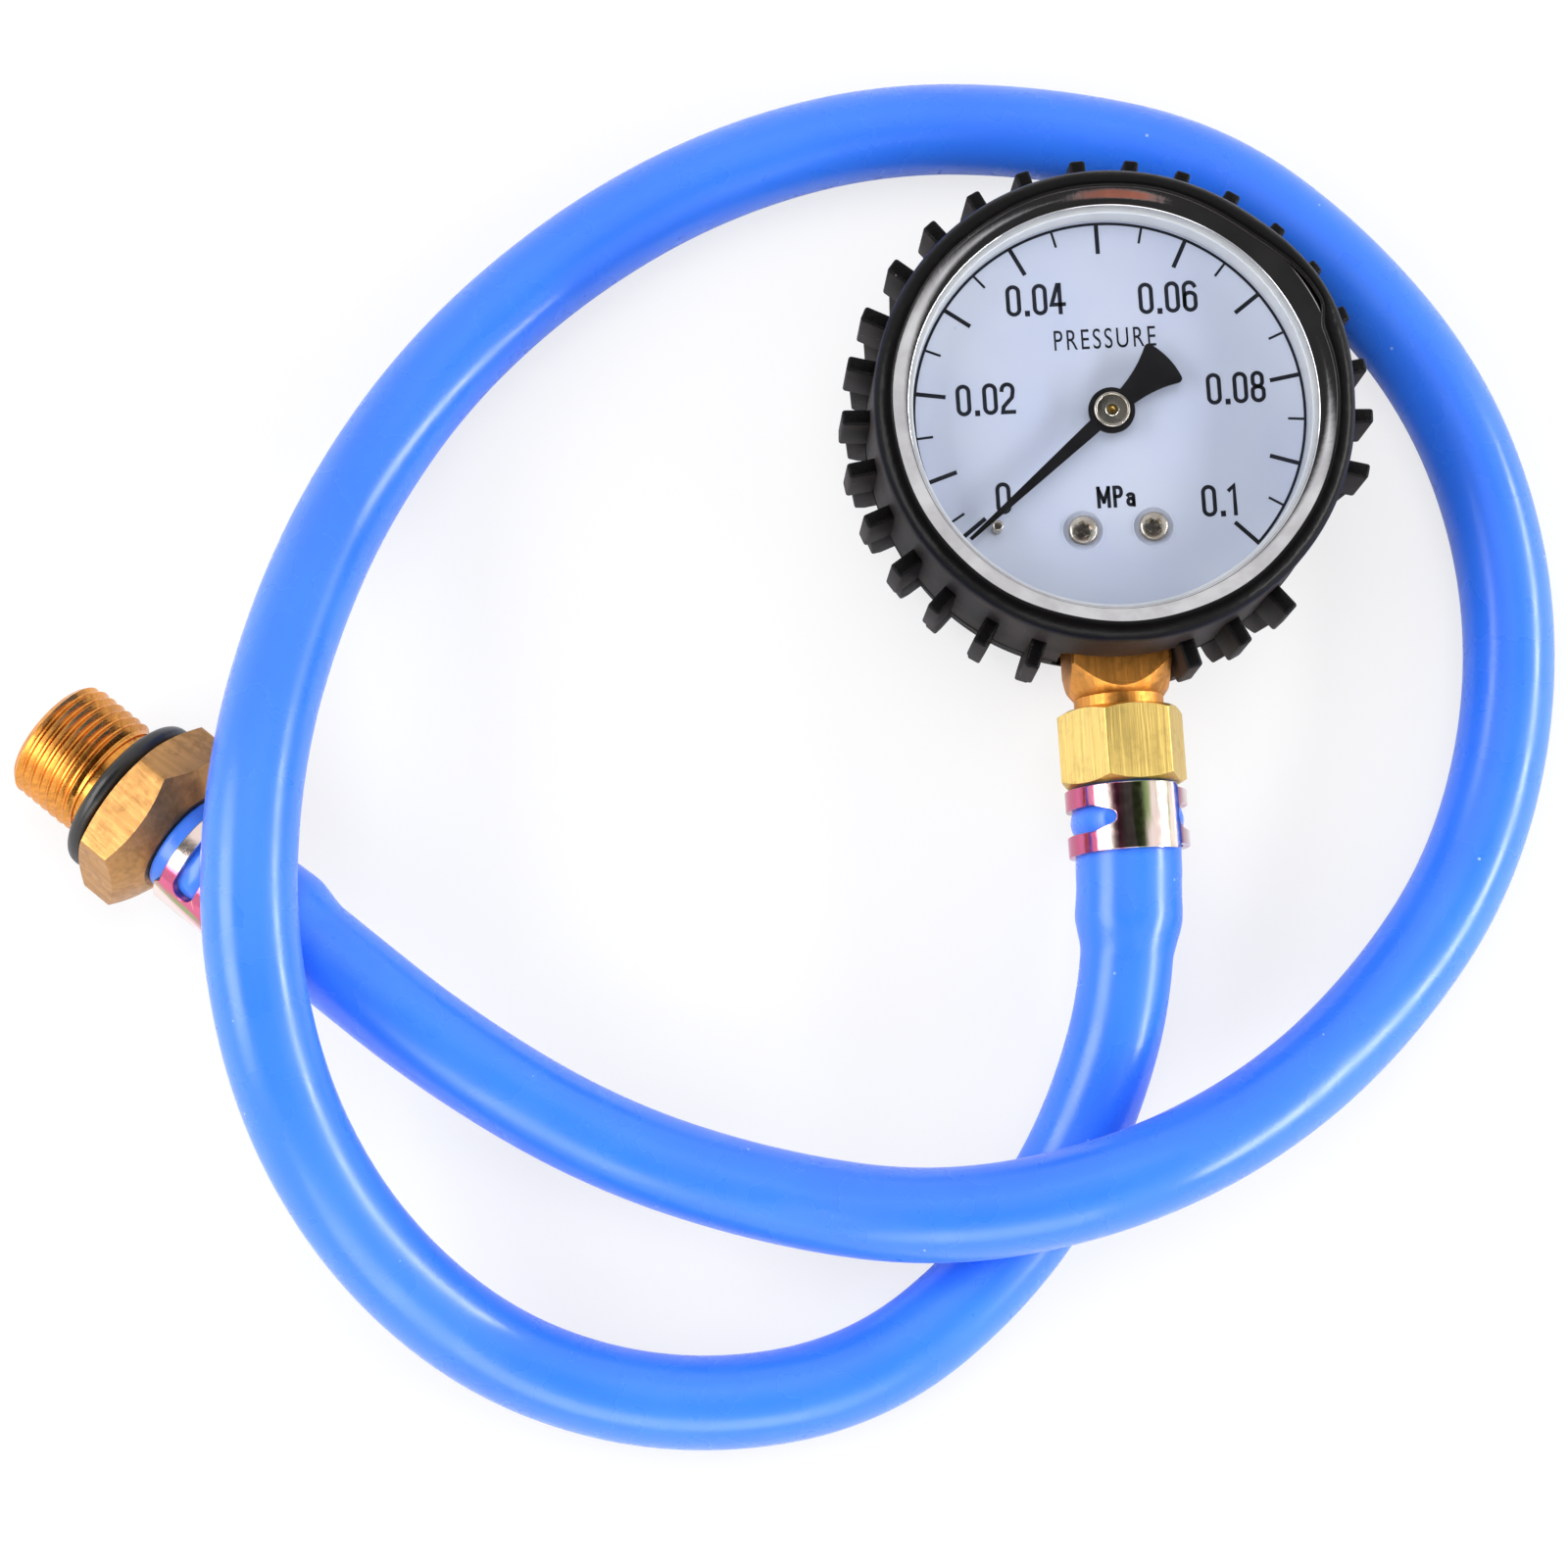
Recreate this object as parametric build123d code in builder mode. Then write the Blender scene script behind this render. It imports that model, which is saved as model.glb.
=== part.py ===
from build123d import *
import os
from math import acos, cos, degrees, floor, radians, sin, sqrt, tan

# Exhaust back pressure tester: a low pressure gauge in a rubber boot, one silicone hose and a threaded adapter.
# Millimetres. The gauge lies on its back: +Z out of the dial, -Y along the stem, +X to the dial's right.
# The origin is the centre of the boot's back face, on the surface that everything lies on.

# Fits
fit_gap = 0.05          # between pieces that slip together and then stay
shaft_gap = 0.04        # radial running clearance of a pivot
end_shake = 0.2         # free play of an arbor between its plates
link_play = 0.35        # radial play of the one open pivot, at the tube's tip
bezel_gap = 0.2         # between the bezel and the flange
dial_gap = 0.2          # between the dial and the case
mesh_backlash = 0.1     # share of a tooth's thickness

# Case
case_radius = 30.0
case_wall = 0.8
case_round = 1.4
case_depth = 25.2       # from the case's back to the front of its flange
flange_width = 1.2      # beyond the case's wall
flange_height = 0.8

# Rubber boot
boot_back = 1.8
boot_wall = 1.15        # over the bezel
boot_foot_wall = 1.6     # wall beside the case's back
boot_foot_round = 2.5
boot_seam_z = 13.5      # parting line of the mould
boot_seam_step = 0.2
boot_lip_reach = 1.5    # over the bezel
boot_lip_height = 0.95  # above the bezel's crest
boot_lip_round = 2.1
boot_lip_drop = 0.35    # slope of the lip's inner edge
stem_window_gap = 1.4   # round the stem block
stem_window_round = 2.0

# Grip lugs of the boot
lug_count = 30
lug_phase = -15.0       # degrees from +X
lug_bare = (-99.0, -87.0, -39.0, -27.0)     # no lug here: the stem's gap and one bare stretch
lug_width = 2.3
lug_side_step = 0.15    # the back half is this much narrower on each side
lug_rise = 3.9          # above the boot's wall
lug_back_rise = 2.9
lug_taper = 0.9         # of the back half's outer face
lug_edge = 0.6
lug_foot_run = 1.0
lug_foot_rise = 1.6
lug_top_z = 25.0
lug_bottom_z = 2.2
lug_root = 0.6          # how far out of the boot's bore a lug is rooted
lug_trim_gap = 0.3      # between a lug and the stem block

# Front of the gauge
seat_ring_height = 3.2  # white ring between the flange and the window
seat_ring_width = 1.6   # inwards from the case's wall
seat_ring_spigot = 0.75
seat_ring_inset = 0.1
window_thickness = 1.3
window_inset = 0.4      # from the flange's edge
bezel_cover = 1.0       # inwards from the case's wall
bezel_metal = 0.6
bezel_crest = 0.9       # above the bezel's inner edge
bezel_round = 0.8
bezel_hook = 0.9        # how far the edge is turned in under the flange
dial_depth = 1.4        # from the flange's front to the dial's back
dial_thickness = 0.5
dial_hole = 2.0
dial_screw_x = 4.9
dial_screw_y = -16.2
dial_screw_head_radius = 2.1
dial_screw_head = 1.2
dial_screw_shank = 0.9
dial_screw_depth = 2.2
dial_post_radius = 1.7
dimple_radius = 2.85
dimple_depth = 0.25
stop_pin_radius = 0.75
stop_pin_inset = 3.9    # from the pointer's tip
stop_pin_angle = -137.5
stop_pin_height = 3.0   # above the dial
stop_pin_tail = 0.6     # behind the dial

# Pointer
pointer_angle = -140.5  # at no pressure, from +X
pointer_travel = 264.5  # clockwise, from no pressure to the end of the scale
pointer_height = 1.9    # above the dial
pointer_thickness = 0.4
pointer_tip_gap = 2.4   # between the tip and the case
pointer_root_width = 2.2
pointer_tip_width = 0.5
pointer_hub_radius = 3.25
pointer_tail = 10.9
pointer_tail_half_angle = 20.5
pointer_tail_waist = 1.4    # half width where the tail leaves the hub
pointer_tail_sag = 0.9      # hollow of the tail's sides
pointer_tail_round = 0.6
pointer_cap_radius = 2.5
pointer_cap_height = 0.7
pointer_cap_rim = 0.5
pointer_cap_recess = 0.15
pointer_bush_radius = 1.3
pointer_bush_length = 0.8

# Stem block, with the thread that the hose fitting screws on; lengths run from the dial's axis along the stem
block_side = 14.0
block_edge = 0.4
block_z = 13.0          # height of the stem's axis
block_length = 7.8      # outside the case
block_depth = 17.4      # inside the case's radius
block_shelf_z = 16.0    # shelf that carries the movement
block_cone_length = 4.6
block_cone_radius = 6.4
neck_length = 1.7       # between the block and the hose fitting's nut
stem_neck_radius = 6.3
stem_thread_radius = 6.58
stem_mouth_radius = 2.6
stem_mouth_depth = 9.0
stem_passage_radius = 1.4
restrictor_length = 4.0
restrictor_hole = 0.4
block_screw_x = 4.0
block_screw_inset = 5.0 # from the case's radius
case_screw_radius = 1.5
case_screw_head = 2.7
case_screw_length = 6.0

# Bourdon tube
tube_inset = 8.5        # from the case's radius to the middle of its arc
tube_axial = 8.0
tube_radial = 2.8
tube_wall = 0.35
tube_z = 10.2
tube_start = -84.0      # inside the stem block
tube_end = 230.0
slot_start = -94.0
slot_end = -60.0
tip_arc = 6.0           # degrees of the end piece
tip_wall = 0.4
tip_ear_thickness = 1.2
tip_ear_width = 2.4
tip_post_radius = 1.2

# Movement: two plates, pinion and toothed sector
plate_thickness = 1.0
plate_space = 5.0
pillar_radius = 1.5
pillar_spots = ((9.0, -9.0), (-9.5, -3.0))      # beside the two that stand over the stem block
plate_back_margin = 2.2     # round the screws in the stem block
plate_margin = 2.5          # beside a pillar
plate_side_margin = 3.0     # before and behind a pillar
plate_head = (5.0, 6.0)     # corner of the plates over the pinion
plate_shoulder = 11.0       # from the plate's end to where it widens
plate_inset = 0.5           # from the stem block's sides
plate_round = 1.5
movement_screw_radius = 0.8
movement_screw_head_radius = 1.5
movement_screw_head = 0.8
block_screw_depth = 3.5
gear_module = 0.25
pressure_angle = 25.0
tooth_addendum = 0.9    # in modules
tooth_dedendum = 1.25
pinion_teeth = 12
gear_ratio = 9
sector_angle = -88.0    # of its arbor, seen from the pinion
sector_z = 18.9
sector_thickness = 0.8
sector_rim = 1.8
sector_window_inner = 4.2
sector_arm = 1.1
sector_hub_radius = 1.7
sector_arbor_radius = 1.0
sector_margin = 5.0     # degrees of teeth past each end of the travel
pivot_radius = 0.5
tail_length = 6.5
tail_angle = 128.3      # of the sector's tail at no pressure
tail_width = 2.4
link_z = 17.9
link_angle = 233.0
link_length = 13.0
link_width = 1.0
link_eye = 1.45
link_thickness = 0.6
link_pin_radius = 0.45
link_pin_head = 0.3
pinion_z = 18.3
pinion_height = 2.0
pinion_shaft = 0.8
pinion_front = 0.7
spring_turns = 4
spring_start = 1.9
spring_pitch = 1.0
spring_strip = 0.2
spring_height = 0.7
spring_z = 20.9
collet_height = 0.9
stud_width = 1.6
stud_slit = 0.6

# Hose fitting on the gauge
nut_flats = 16.0
nut_length = 10.8
nut_floor = 1.3
nut_turn = 10.5         # degrees that the upper flat leans to the right
nut_face_inset = 0.3    # of the turned face, from the flats
washer_thickness = 1.1
washer_gap = 0.3
barb_radius = 5.25
barb_root = 4.4
barb_bore = 2.8
barb_length = 20.7
barb_count = 4
barb_land = 0.6

# Hose and its clamps
hose_radius = 6.5
hose_bore = 4.0
hose_swell_radius = 7.4     # where it is pushed over a barb
hose_swell_fade = 2.6
hose_first_run = 22.7
hose_last_run = 23.4
clamp_width = 9.3
clamp_metal = 0.7
clamp_free = 0.4            # between the nut and the gauge's clamp
end_clamp_free = 2.0        # between the adapter's hexagon and its clamp
end_clamp_turn = 103.4      # degrees that the adapter's clamp is turned
clamp_window = 3.6
clamp_window_end = 1.8
clamp_waist = 0.7           # the tongue's half is this much narrower on each side
clamp_bar = 2.5             # band left between the tongue's window and the tongue
clamp_tongue = 2.8
clamp_ear = 3.4
clamp_fork_start = 17.0     # degrees round the hose
clamp_tongue_start = -50.0
clamp_tongue_close = -128.0
clamp_ear_angle = 195.0

# Adapter at the engine's end
end_flats = 24.0
end_hex_length = 8.6
end_hex_corner = 5.2        # length of the hexagon's corners, before the cone
end_cone_radius = 8.0
end_thread_radius = 9.0
end_thread_length = 11.0
end_thread_edge = 0.8
end_undercut = 1.6
end_undercut_radius = 8.0
end_seat = 3.2              # plain collar that carries the O-ring
oring_section = 2.65
end_x = -137.5
end_y = -44.8
end_heading = -42.5         # degrees, of the adapter's axis towards the hose
end_rise = 8.5              # degrees, thread end down
end_roll = 11.5             # degrees, hexagon turned about its axis

# Worked out from the sizes above
case_back_z = boot_back
case_inner_radius = case_radius - case_wall
flange_radius = case_radius + flange_width
seat_ring_bore = case_inner_radius - seat_ring_width
bezel_bore = case_inner_radius - bezel_cover
tube_radius = case_radius - tube_inset
block_end = case_radius + block_length
block_inner = case_radius - block_depth
block_screw_y = block_screw_inset - case_radius
pointer_reach = case_inner_radius - pointer_tip_gap
stop_pin_distance = pointer_reach - stop_pin_inset
flange_top = case_back_z + case_depth
flange_bottom = flange_top - flange_height
dial_z = flange_top - dial_depth
dial_top = dial_z + dial_thickness
pointer_z = dial_top + pointer_height
window_z = flange_top + seat_ring_height
window_top = window_z + window_thickness
bezel_radius = flange_radius + bezel_gap + bezel_metal
bezel_inner_top = window_top + bezel_metal
bezel_crest_z = bezel_inner_top + bezel_crest
bezel_hook_z = flange_bottom - bezel_metal
boot_bore = case_radius + fit_gap
boot_radius = bezel_radius + fit_gap + boot_wall
boot_foot_radius = case_radius + boot_foot_wall
boot_lip_bore = bezel_radius - boot_lip_reach
lug_tip_radius = boot_radius + lug_rise
lug_back_tip_radius = boot_radius + lug_back_rise
boot_top = bezel_crest_z + boot_lip_height
plate_back_z = block_shelf_z
plate_space_z = plate_back_z + plate_thickness
plate_front_z = plate_space_z + plate_space
plate_top_z = plate_front_z + plate_thickness
block_floor_z = case_back_z + case_wall
block_reach = sqrt(case_inner_radius**2 - (block_side / 2) ** 2) - fit_gap
nut_start = block_end + neck_length
nut_end = nut_start + nut_length
stem_end = nut_end - nut_floor - washer_thickness
pinion_pitch_radius = gear_module * pinion_teeth / 2
sector_teeth = pinion_teeth * gear_ratio
sector_pitch_radius = gear_module * sector_teeth / 2
centre_distance = pinion_pitch_radius + sector_pitch_radius
sector_travel = pointer_travel / gear_ratio
hose_swell_bore = barb_radius + fit_gap
clamp_bore = hose_swell_radius + fit_gap
end_corner_radius = end_flats / sqrt(3)
end_z = end_corner_radius * cos(radians(30 - end_roll)) * cos(radians(end_rise))

os.makedirs("parts", exist_ok=True)


def polar(radius, angle, centre=(0.0, 0.0)):
    """A point at a radius and an angle in degrees from a centre."""
    return (centre[0] + radius * cos(radians(angle)), centre[1] + radius * sin(radians(angle)))


def section_plane(frame, angle=0.0):
    """The plane through a frame's Z axis at an angle from its X: x is the radius, y runs along the axis."""
    radial = frame.x_dir.rotate(Axis((0, 0, 0), frame.z_dir), angle)
    return Plane(origin=frame.origin, x_dir=radial, z_dir=radial.cross(frame.z_dir))


def turned(frame, angle):
    """A frame turned about its own Z axis."""
    x_dir = frame.x_dir.rotate(Axis((0, 0, 0), frame.z_dir), angle)
    return Plane(origin=frame.origin, x_dir=x_dir, z_dir=frame.z_dir)


def axis_of(frame):
    """The Z axis of a frame."""
    return Axis(frame.origin, frame.z_dir)


# Frames: the stem's runs outwards from the dial's axis, the adapter's from its hexagon towards the hose
stem_frame = Plane(origin=(0, 0, block_z), x_dir=(0, 0, 1), z_dir=(0, -1, 0))
end_level = Vector(1, 0, 0).rotate(Axis.Z, end_heading)
end_across = Vector(0, 1, 0).rotate(Axis.Z, end_heading)
end_along = end_level * cos(radians(end_rise)) + Vector(0, 0, 1) * sin(radians(end_rise))
end_frame = Plane(origin=(end_x, end_y, end_z), x_dir=end_along.cross(end_across), z_dir=end_along)
nut_frame = stem_frame.offset(nut_start)
nut_face = stem_frame.offset(nut_end)
end_face = end_frame.offset(end_hex_length)

# Places of the movement
sector_spot = polar(centre_distance, sector_angle)
link_spot = polar(tail_length, tail_angle, sector_spot)
tip_spot = polar(link_length, link_angle, link_spot)
block_spots = ((-block_screw_x, block_screw_y), (block_screw_x, block_screw_y))
dial_spots = ((-dial_screw_x, dial_screw_y), (dial_screw_x, dial_screw_y))

# Boot: a cup that is thick round the case, thin over the bezel and rolled over the bezel's edge
with BuildPart() as boot_lug:
    with BuildSketch(Plane.XZ) as lug_front:
        with BuildLine():
            Polyline(
                (boot_radius - boot_wall / 2, boot_seam_z),
                (lug_tip_radius, boot_seam_z),
                (lug_tip_radius, lug_top_z - lug_edge),
                (lug_tip_radius - lug_edge, lug_top_z),
                (boot_radius - boot_wall / 2, lug_top_z),
                close=True,
            )
        make_face()
    extrude(amount=lug_width / 2, both=True)
    with BuildSketch(Plane.XZ) as lug_back:
        with BuildLine():
            Polyline(
                (boot_bore + lug_root, lug_bottom_z),
                (lug_back_tip_radius - lug_taper - lug_foot_run, lug_bottom_z),
                (lug_back_tip_radius - lug_taper, lug_bottom_z + lug_foot_rise),
                (lug_back_tip_radius, boot_seam_z),
                (boot_bore + lug_root, boot_seam_z),
                close=True,
            )
        make_face()
    extrude(amount=lug_width / 2 - lug_side_step, both=True)

lug_angles = [
    lug_phase + k * 360 / lug_count
    for k in range(-lug_count // 2, lug_count // 2)
    if round(lug_phase + k * 360 / lug_count, 3) not in lug_bare
]

with BuildPart() as boot:
    with BuildSketch(Plane.XZ) as boot_section:
        with BuildLine():
            Line((0, 0), (boot_foot_radius - boot_foot_round, 0))
            CenterArc((boot_foot_radius - boot_foot_round, boot_foot_round), boot_foot_round, -90, 90)
            Polyline(
                (boot_foot_radius, boot_foot_round),
                (boot_radius - boot_seam_step, boot_seam_z),
                (boot_radius, boot_seam_z),
                (boot_radius, boot_top - boot_lip_round),
            )
            CenterArc((boot_radius - boot_lip_round, boot_top - boot_lip_round), boot_lip_round, 0, 90)
            Polyline(
                (boot_radius - boot_lip_round, boot_top),
                (boot_lip_bore + boot_lip_drop, boot_top - boot_lip_drop / 2),
                (boot_lip_bore, bezel_crest_z + fit_gap),
                (bezel_radius - bezel_round, bezel_crest_z + fit_gap),
            )
            CenterArc((bezel_radius - bezel_round, bezel_crest_z - bezel_round), bezel_round + fit_gap, 0, 90)
            Polyline(
                (bezel_radius + fit_gap, bezel_crest_z - bezel_round),
                (bezel_radius + fit_gap, bezel_hook_z - fit_gap),
                (boot_bore, bezel_hook_z - fit_gap),
                (boot_bore, boot_back),
                (0, boot_back),
                (0, 0),
            )
        make_face()
    revolve(axis=Axis.Z)
    # Opening in the wall that the stem block comes through
    with BuildSketch(stem_frame.offset(block_reach)) as stem_window:
        RectangleRounded(block_side + 2 * stem_window_gap, block_side + 2 * stem_window_gap, stem_window_round)
    extrude(amount=block_end - block_reach, mode=Mode.SUBTRACT)
    with Locations(*[Location((0, 0, 0), (0, 0, angle)) for angle in lug_angles]):
        add(boot_lug.part)
    # A lug beside the stem block is trimmed clear of it
    with BuildSketch(stem_frame.offset(block_reach)) as block_room:
        Rectangle(block_side + 2 * lug_trim_gap, block_side + 2 * lug_trim_gap)
    extrude(amount=block_end - block_reach, mode=Mode.SUBTRACT)
boot.part.label = "boot"
export_step(boot.part, "parts/boot.step")


def countersunk(gap):
    """Half outline of a case screw, grown by a gap for the hole that it goes in."""
    return (
        (0, case_back_z),
        (case_screw_head + gap, case_back_z),
        (case_screw_radius + gap, case_back_z + case_screw_head - case_screw_radius),
        (case_screw_radius + gap, case_back_z + case_screw_length + gap),
        (0, case_back_z + case_screw_length + gap),
    )


with BuildPart() as case_screw_hole:
    with BuildSketch(Plane.XZ):
        with BuildLine():
            Polyline(*countersunk(fit_gap), close=True)
        make_face()
    revolve(axis=Axis.Z)

# Case: a pressed steel cup with a flange, cut out for the stem block
with BuildPart() as case:
    with BuildSketch(Plane.XZ) as case_section:
        with BuildLine():
            Polyline(
                (0, case_back_z),
                (case_radius, case_back_z),
                (case_radius, flange_bottom),
                (flange_radius, flange_bottom),
                (flange_radius, flange_top),
                (case_inner_radius, flange_top),
                (case_inner_radius, block_floor_z),
                (0, block_floor_z),
                close=True,
            )
        make_face()
    revolve(axis=Axis.Z)
    fillet(case.edges().filter_by(GeomType.CIRCLE).group_by(Axis.Z)[0], case_round)
    with BuildSketch(stem_frame.offset(block_reach - case_wall)) as block_cutout:
        Rectangle(block_side + 2 * fit_gap, block_side + 2 * fit_gap)
    extrude(amount=block_end - block_reach, mode=Mode.SUBTRACT)
    with Locations(*block_spots):
        add(case_screw_hole.part, mode=Mode.SUBTRACT)
case.part.label = "case"
export_step(case.part, "parts/case.step")

# Seat ring: white, between the flange and the window, with a spigot that centres it in the case
with BuildPart() as seat_ring:
    with BuildSketch(Plane.XZ) as seat_ring_section:
        with BuildLine():
            Polyline(
                (seat_ring_bore, flange_top - seat_ring_spigot),
                (case_inner_radius - fit_gap, flange_top - seat_ring_spigot),
                (case_inner_radius - fit_gap, flange_top),
                (flange_radius - seat_ring_inset, flange_top),
                (flange_radius - seat_ring_inset, window_z),
                (seat_ring_bore, window_z),
                close=True,
            )
        make_face()
    revolve(axis=Axis.Z)
seat_ring.part.label = "seat_ring"
export_step(seat_ring.part, "parts/seat_ring.step")

# Window: a flat glass disc
with BuildPart() as window:
    with BuildSketch(Plane.XY.offset(window_z)):
        Circle(flange_radius - window_inset)
    extrude(amount=window_thickness)
window.part.label = "window"
export_step(window.part, "parts/window.step")

# Bezel: sheet metal that holds the window and is turned in under the flange
with BuildPart() as bezel:
    with BuildSketch(Plane.XZ) as bezel_section:
        with BuildLine():
            CenterArc((bezel_radius - bezel_round, bezel_crest_z - bezel_round), bezel_round, 0, 90)
            Polyline(
                (bezel_radius - bezel_round, bezel_crest_z),
                (bezel_bore, bezel_inner_top),
                (bezel_bore, window_top),
                (bezel_radius - bezel_round, bezel_crest_z - bezel_metal),
                (bezel_radius - bezel_metal, bezel_crest_z - bezel_round),
                (bezel_radius - bezel_metal, flange_bottom),
                (flange_radius - bezel_hook, flange_bottom),
                (flange_radius - bezel_hook, bezel_hook_z),
                (bezel_radius, bezel_hook_z),
                (bezel_radius, bezel_crest_z - bezel_round),
            )
        make_face()
    revolve(axis=Axis.Z)
bezel.part.label = "bezel"
export_step(bezel.part, "parts/bezel.step")

# Dial: a thin plate with a hole for the pointer's arbor and a dimple for each screw
with BuildPart() as dial:
    with BuildSketch(Plane.XY.offset(dial_z)):
        Circle(case_inner_radius - dial_gap)
        Circle(dial_hole, mode=Mode.SUBTRACT)
        with Locations(polar(stop_pin_distance, stop_pin_angle)):
            Circle(stop_pin_radius + fit_gap, mode=Mode.SUBTRACT)
        with Locations(*dial_spots):
            Circle(dial_screw_shank + fit_gap, mode=Mode.SUBTRACT)
    extrude(amount=dial_thickness)
    with BuildSketch(Plane.XY.offset(dial_top)) as dimples:
        with Locations(*dial_spots):
            Circle(dimple_radius)
    extrude(amount=-dimple_depth, mode=Mode.SUBTRACT)
dial.part.label = "dial"
export_step(dial.part, "parts/dial.step")

# Dial posts and the screws that hold the dial on them
for number, (x, y) in enumerate(dial_spots, start=1):
    with BuildPart() as dial_post:
        with BuildSketch(Plane(origin=(x, y, plate_top_z))):
            Circle(dial_post_radius)
            Circle(dial_screw_shank + fit_gap, mode=Mode.SUBTRACT)
        extrude(amount=dial_z - plate_top_z)
    dial_post.part.label = f"dial_post_{number}"
    export_step(dial_post.part, f"parts/dial_post_{number}.step")
    head_z = dial_top - dimple_depth
    with BuildPart() as dial_screw:
        with BuildSketch(Plane(origin=(x, y, head_z - dial_screw_depth))):
            Circle(dial_screw_shank)
        extrude(amount=dial_screw_depth)
        with BuildSketch(Plane(origin=(x, y, head_z))):
            Circle(dial_screw_head_radius)
        extrude(amount=dial_screw_head)
        fillet(dial_screw.edges().group_by(Axis.Z)[-1], dial_screw_head / 3)
    dial_screw.part.label = f"dial_screw_{number}"
    export_step(dial_screw.part, f"parts/dial_screw_{number}.step")

# Stop pin that the pointer rests against
with BuildPart() as stop_pin:
    with BuildSketch(Plane.XY.offset(dial_z - stop_pin_tail)):
        with Locations(polar(stop_pin_distance, stop_pin_angle)):
            Circle(stop_pin_radius)
    extrude(amount=stop_pin_tail + dial_thickness + stop_pin_height)
    fillet(stop_pin.edges().group_by(Axis.Z)[-1], stop_pin_radius / 3)
stop_pin.part.label = "stop_pin"
export_step(stop_pin.part, "parts/stop_pin.step")

# Pointer: a flat blade with a round hub and an axe-shaped tail, drawn along its own X
pointer_plane = turned(Plane.XY.offset(pointer_z), pointer_angle)
tail_root = (-sqrt(pointer_hub_radius**2 - pointer_tail_waist**2) + 0.2, pointer_tail_waist)
tail_corner = polar(pointer_tail, 180 - pointer_tail_half_angle)
tail_middle = ((tail_root[0] + tail_corner[0]) / 2, (tail_root[1] + tail_corner[1]) / 2 - pointer_tail_sag / 2)
with BuildPart() as pointer:
    with BuildSketch(pointer_plane):
        with BuildLine():
            Polyline(
                (0, -pointer_root_width / 2),
                (pointer_reach, -pointer_tip_width / 2),
                (pointer_reach, pointer_tip_width / 2),
                (0, pointer_root_width / 2),
                close=True,
            )
        make_face()
        Circle(pointer_hub_radius)
    with BuildSketch(pointer_plane) as pointer_tail_outline:
        with BuildLine():
            ThreePointArc(tail_root, tail_middle, tail_corner)
            ThreePointArc(tail_corner, (-pointer_tail, 0), (tail_corner[0], -tail_corner[1]))
            ThreePointArc(
                (tail_corner[0], -tail_corner[1]),
                (tail_middle[0], -tail_middle[1]),
                (tail_root[0], -tail_root[1]),
            )
            Line((tail_root[0], -tail_root[1]), tail_root)
        make_face()
        fillet(pointer_tail_outline.vertices().sort_by_distance((-pointer_tail, 0))[0:2], pointer_tail_round)
    extrude(amount=pointer_thickness)
    with BuildSketch(pointer_plane):
        Circle(pointer_bush_radius + fit_gap)
    extrude(amount=pointer_thickness, mode=Mode.SUBTRACT)
pointer.part.label = "pointer"
export_step(pointer.part, "parts/pointer.step")

# Pointer cap: a turned bush with a raised rim, riveted through the pointer and pushed on the arbor
cap_z = pointer_z + pointer_thickness
with BuildPart() as pointer_cap:
    with BuildSketch(Plane.XZ) as cap_section:
        with BuildLine():
            Polyline(
                (pinion_front + fit_gap, pointer_z - pointer_bush_length),
                (pointer_bush_radius, pointer_z - pointer_bush_length),
                (pointer_bush_radius, cap_z),
                (pointer_cap_radius, cap_z),
                (pointer_cap_radius, cap_z + pointer_cap_height - pointer_cap_recess),
                (pointer_cap_radius - pointer_cap_rim / 2, cap_z + pointer_cap_height),
                (pointer_cap_radius - pointer_cap_rim, cap_z + pointer_cap_height - pointer_cap_recess),
                (pinion_front + fit_gap, cap_z + pointer_cap_height - pointer_cap_recess),
                close=True,
            )
        make_face()
    revolve(axis=Axis.Z)
pointer_cap.part.label = "pointer_cap"
export_step(pointer_cap.part, "parts/pointer_cap.step")

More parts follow.
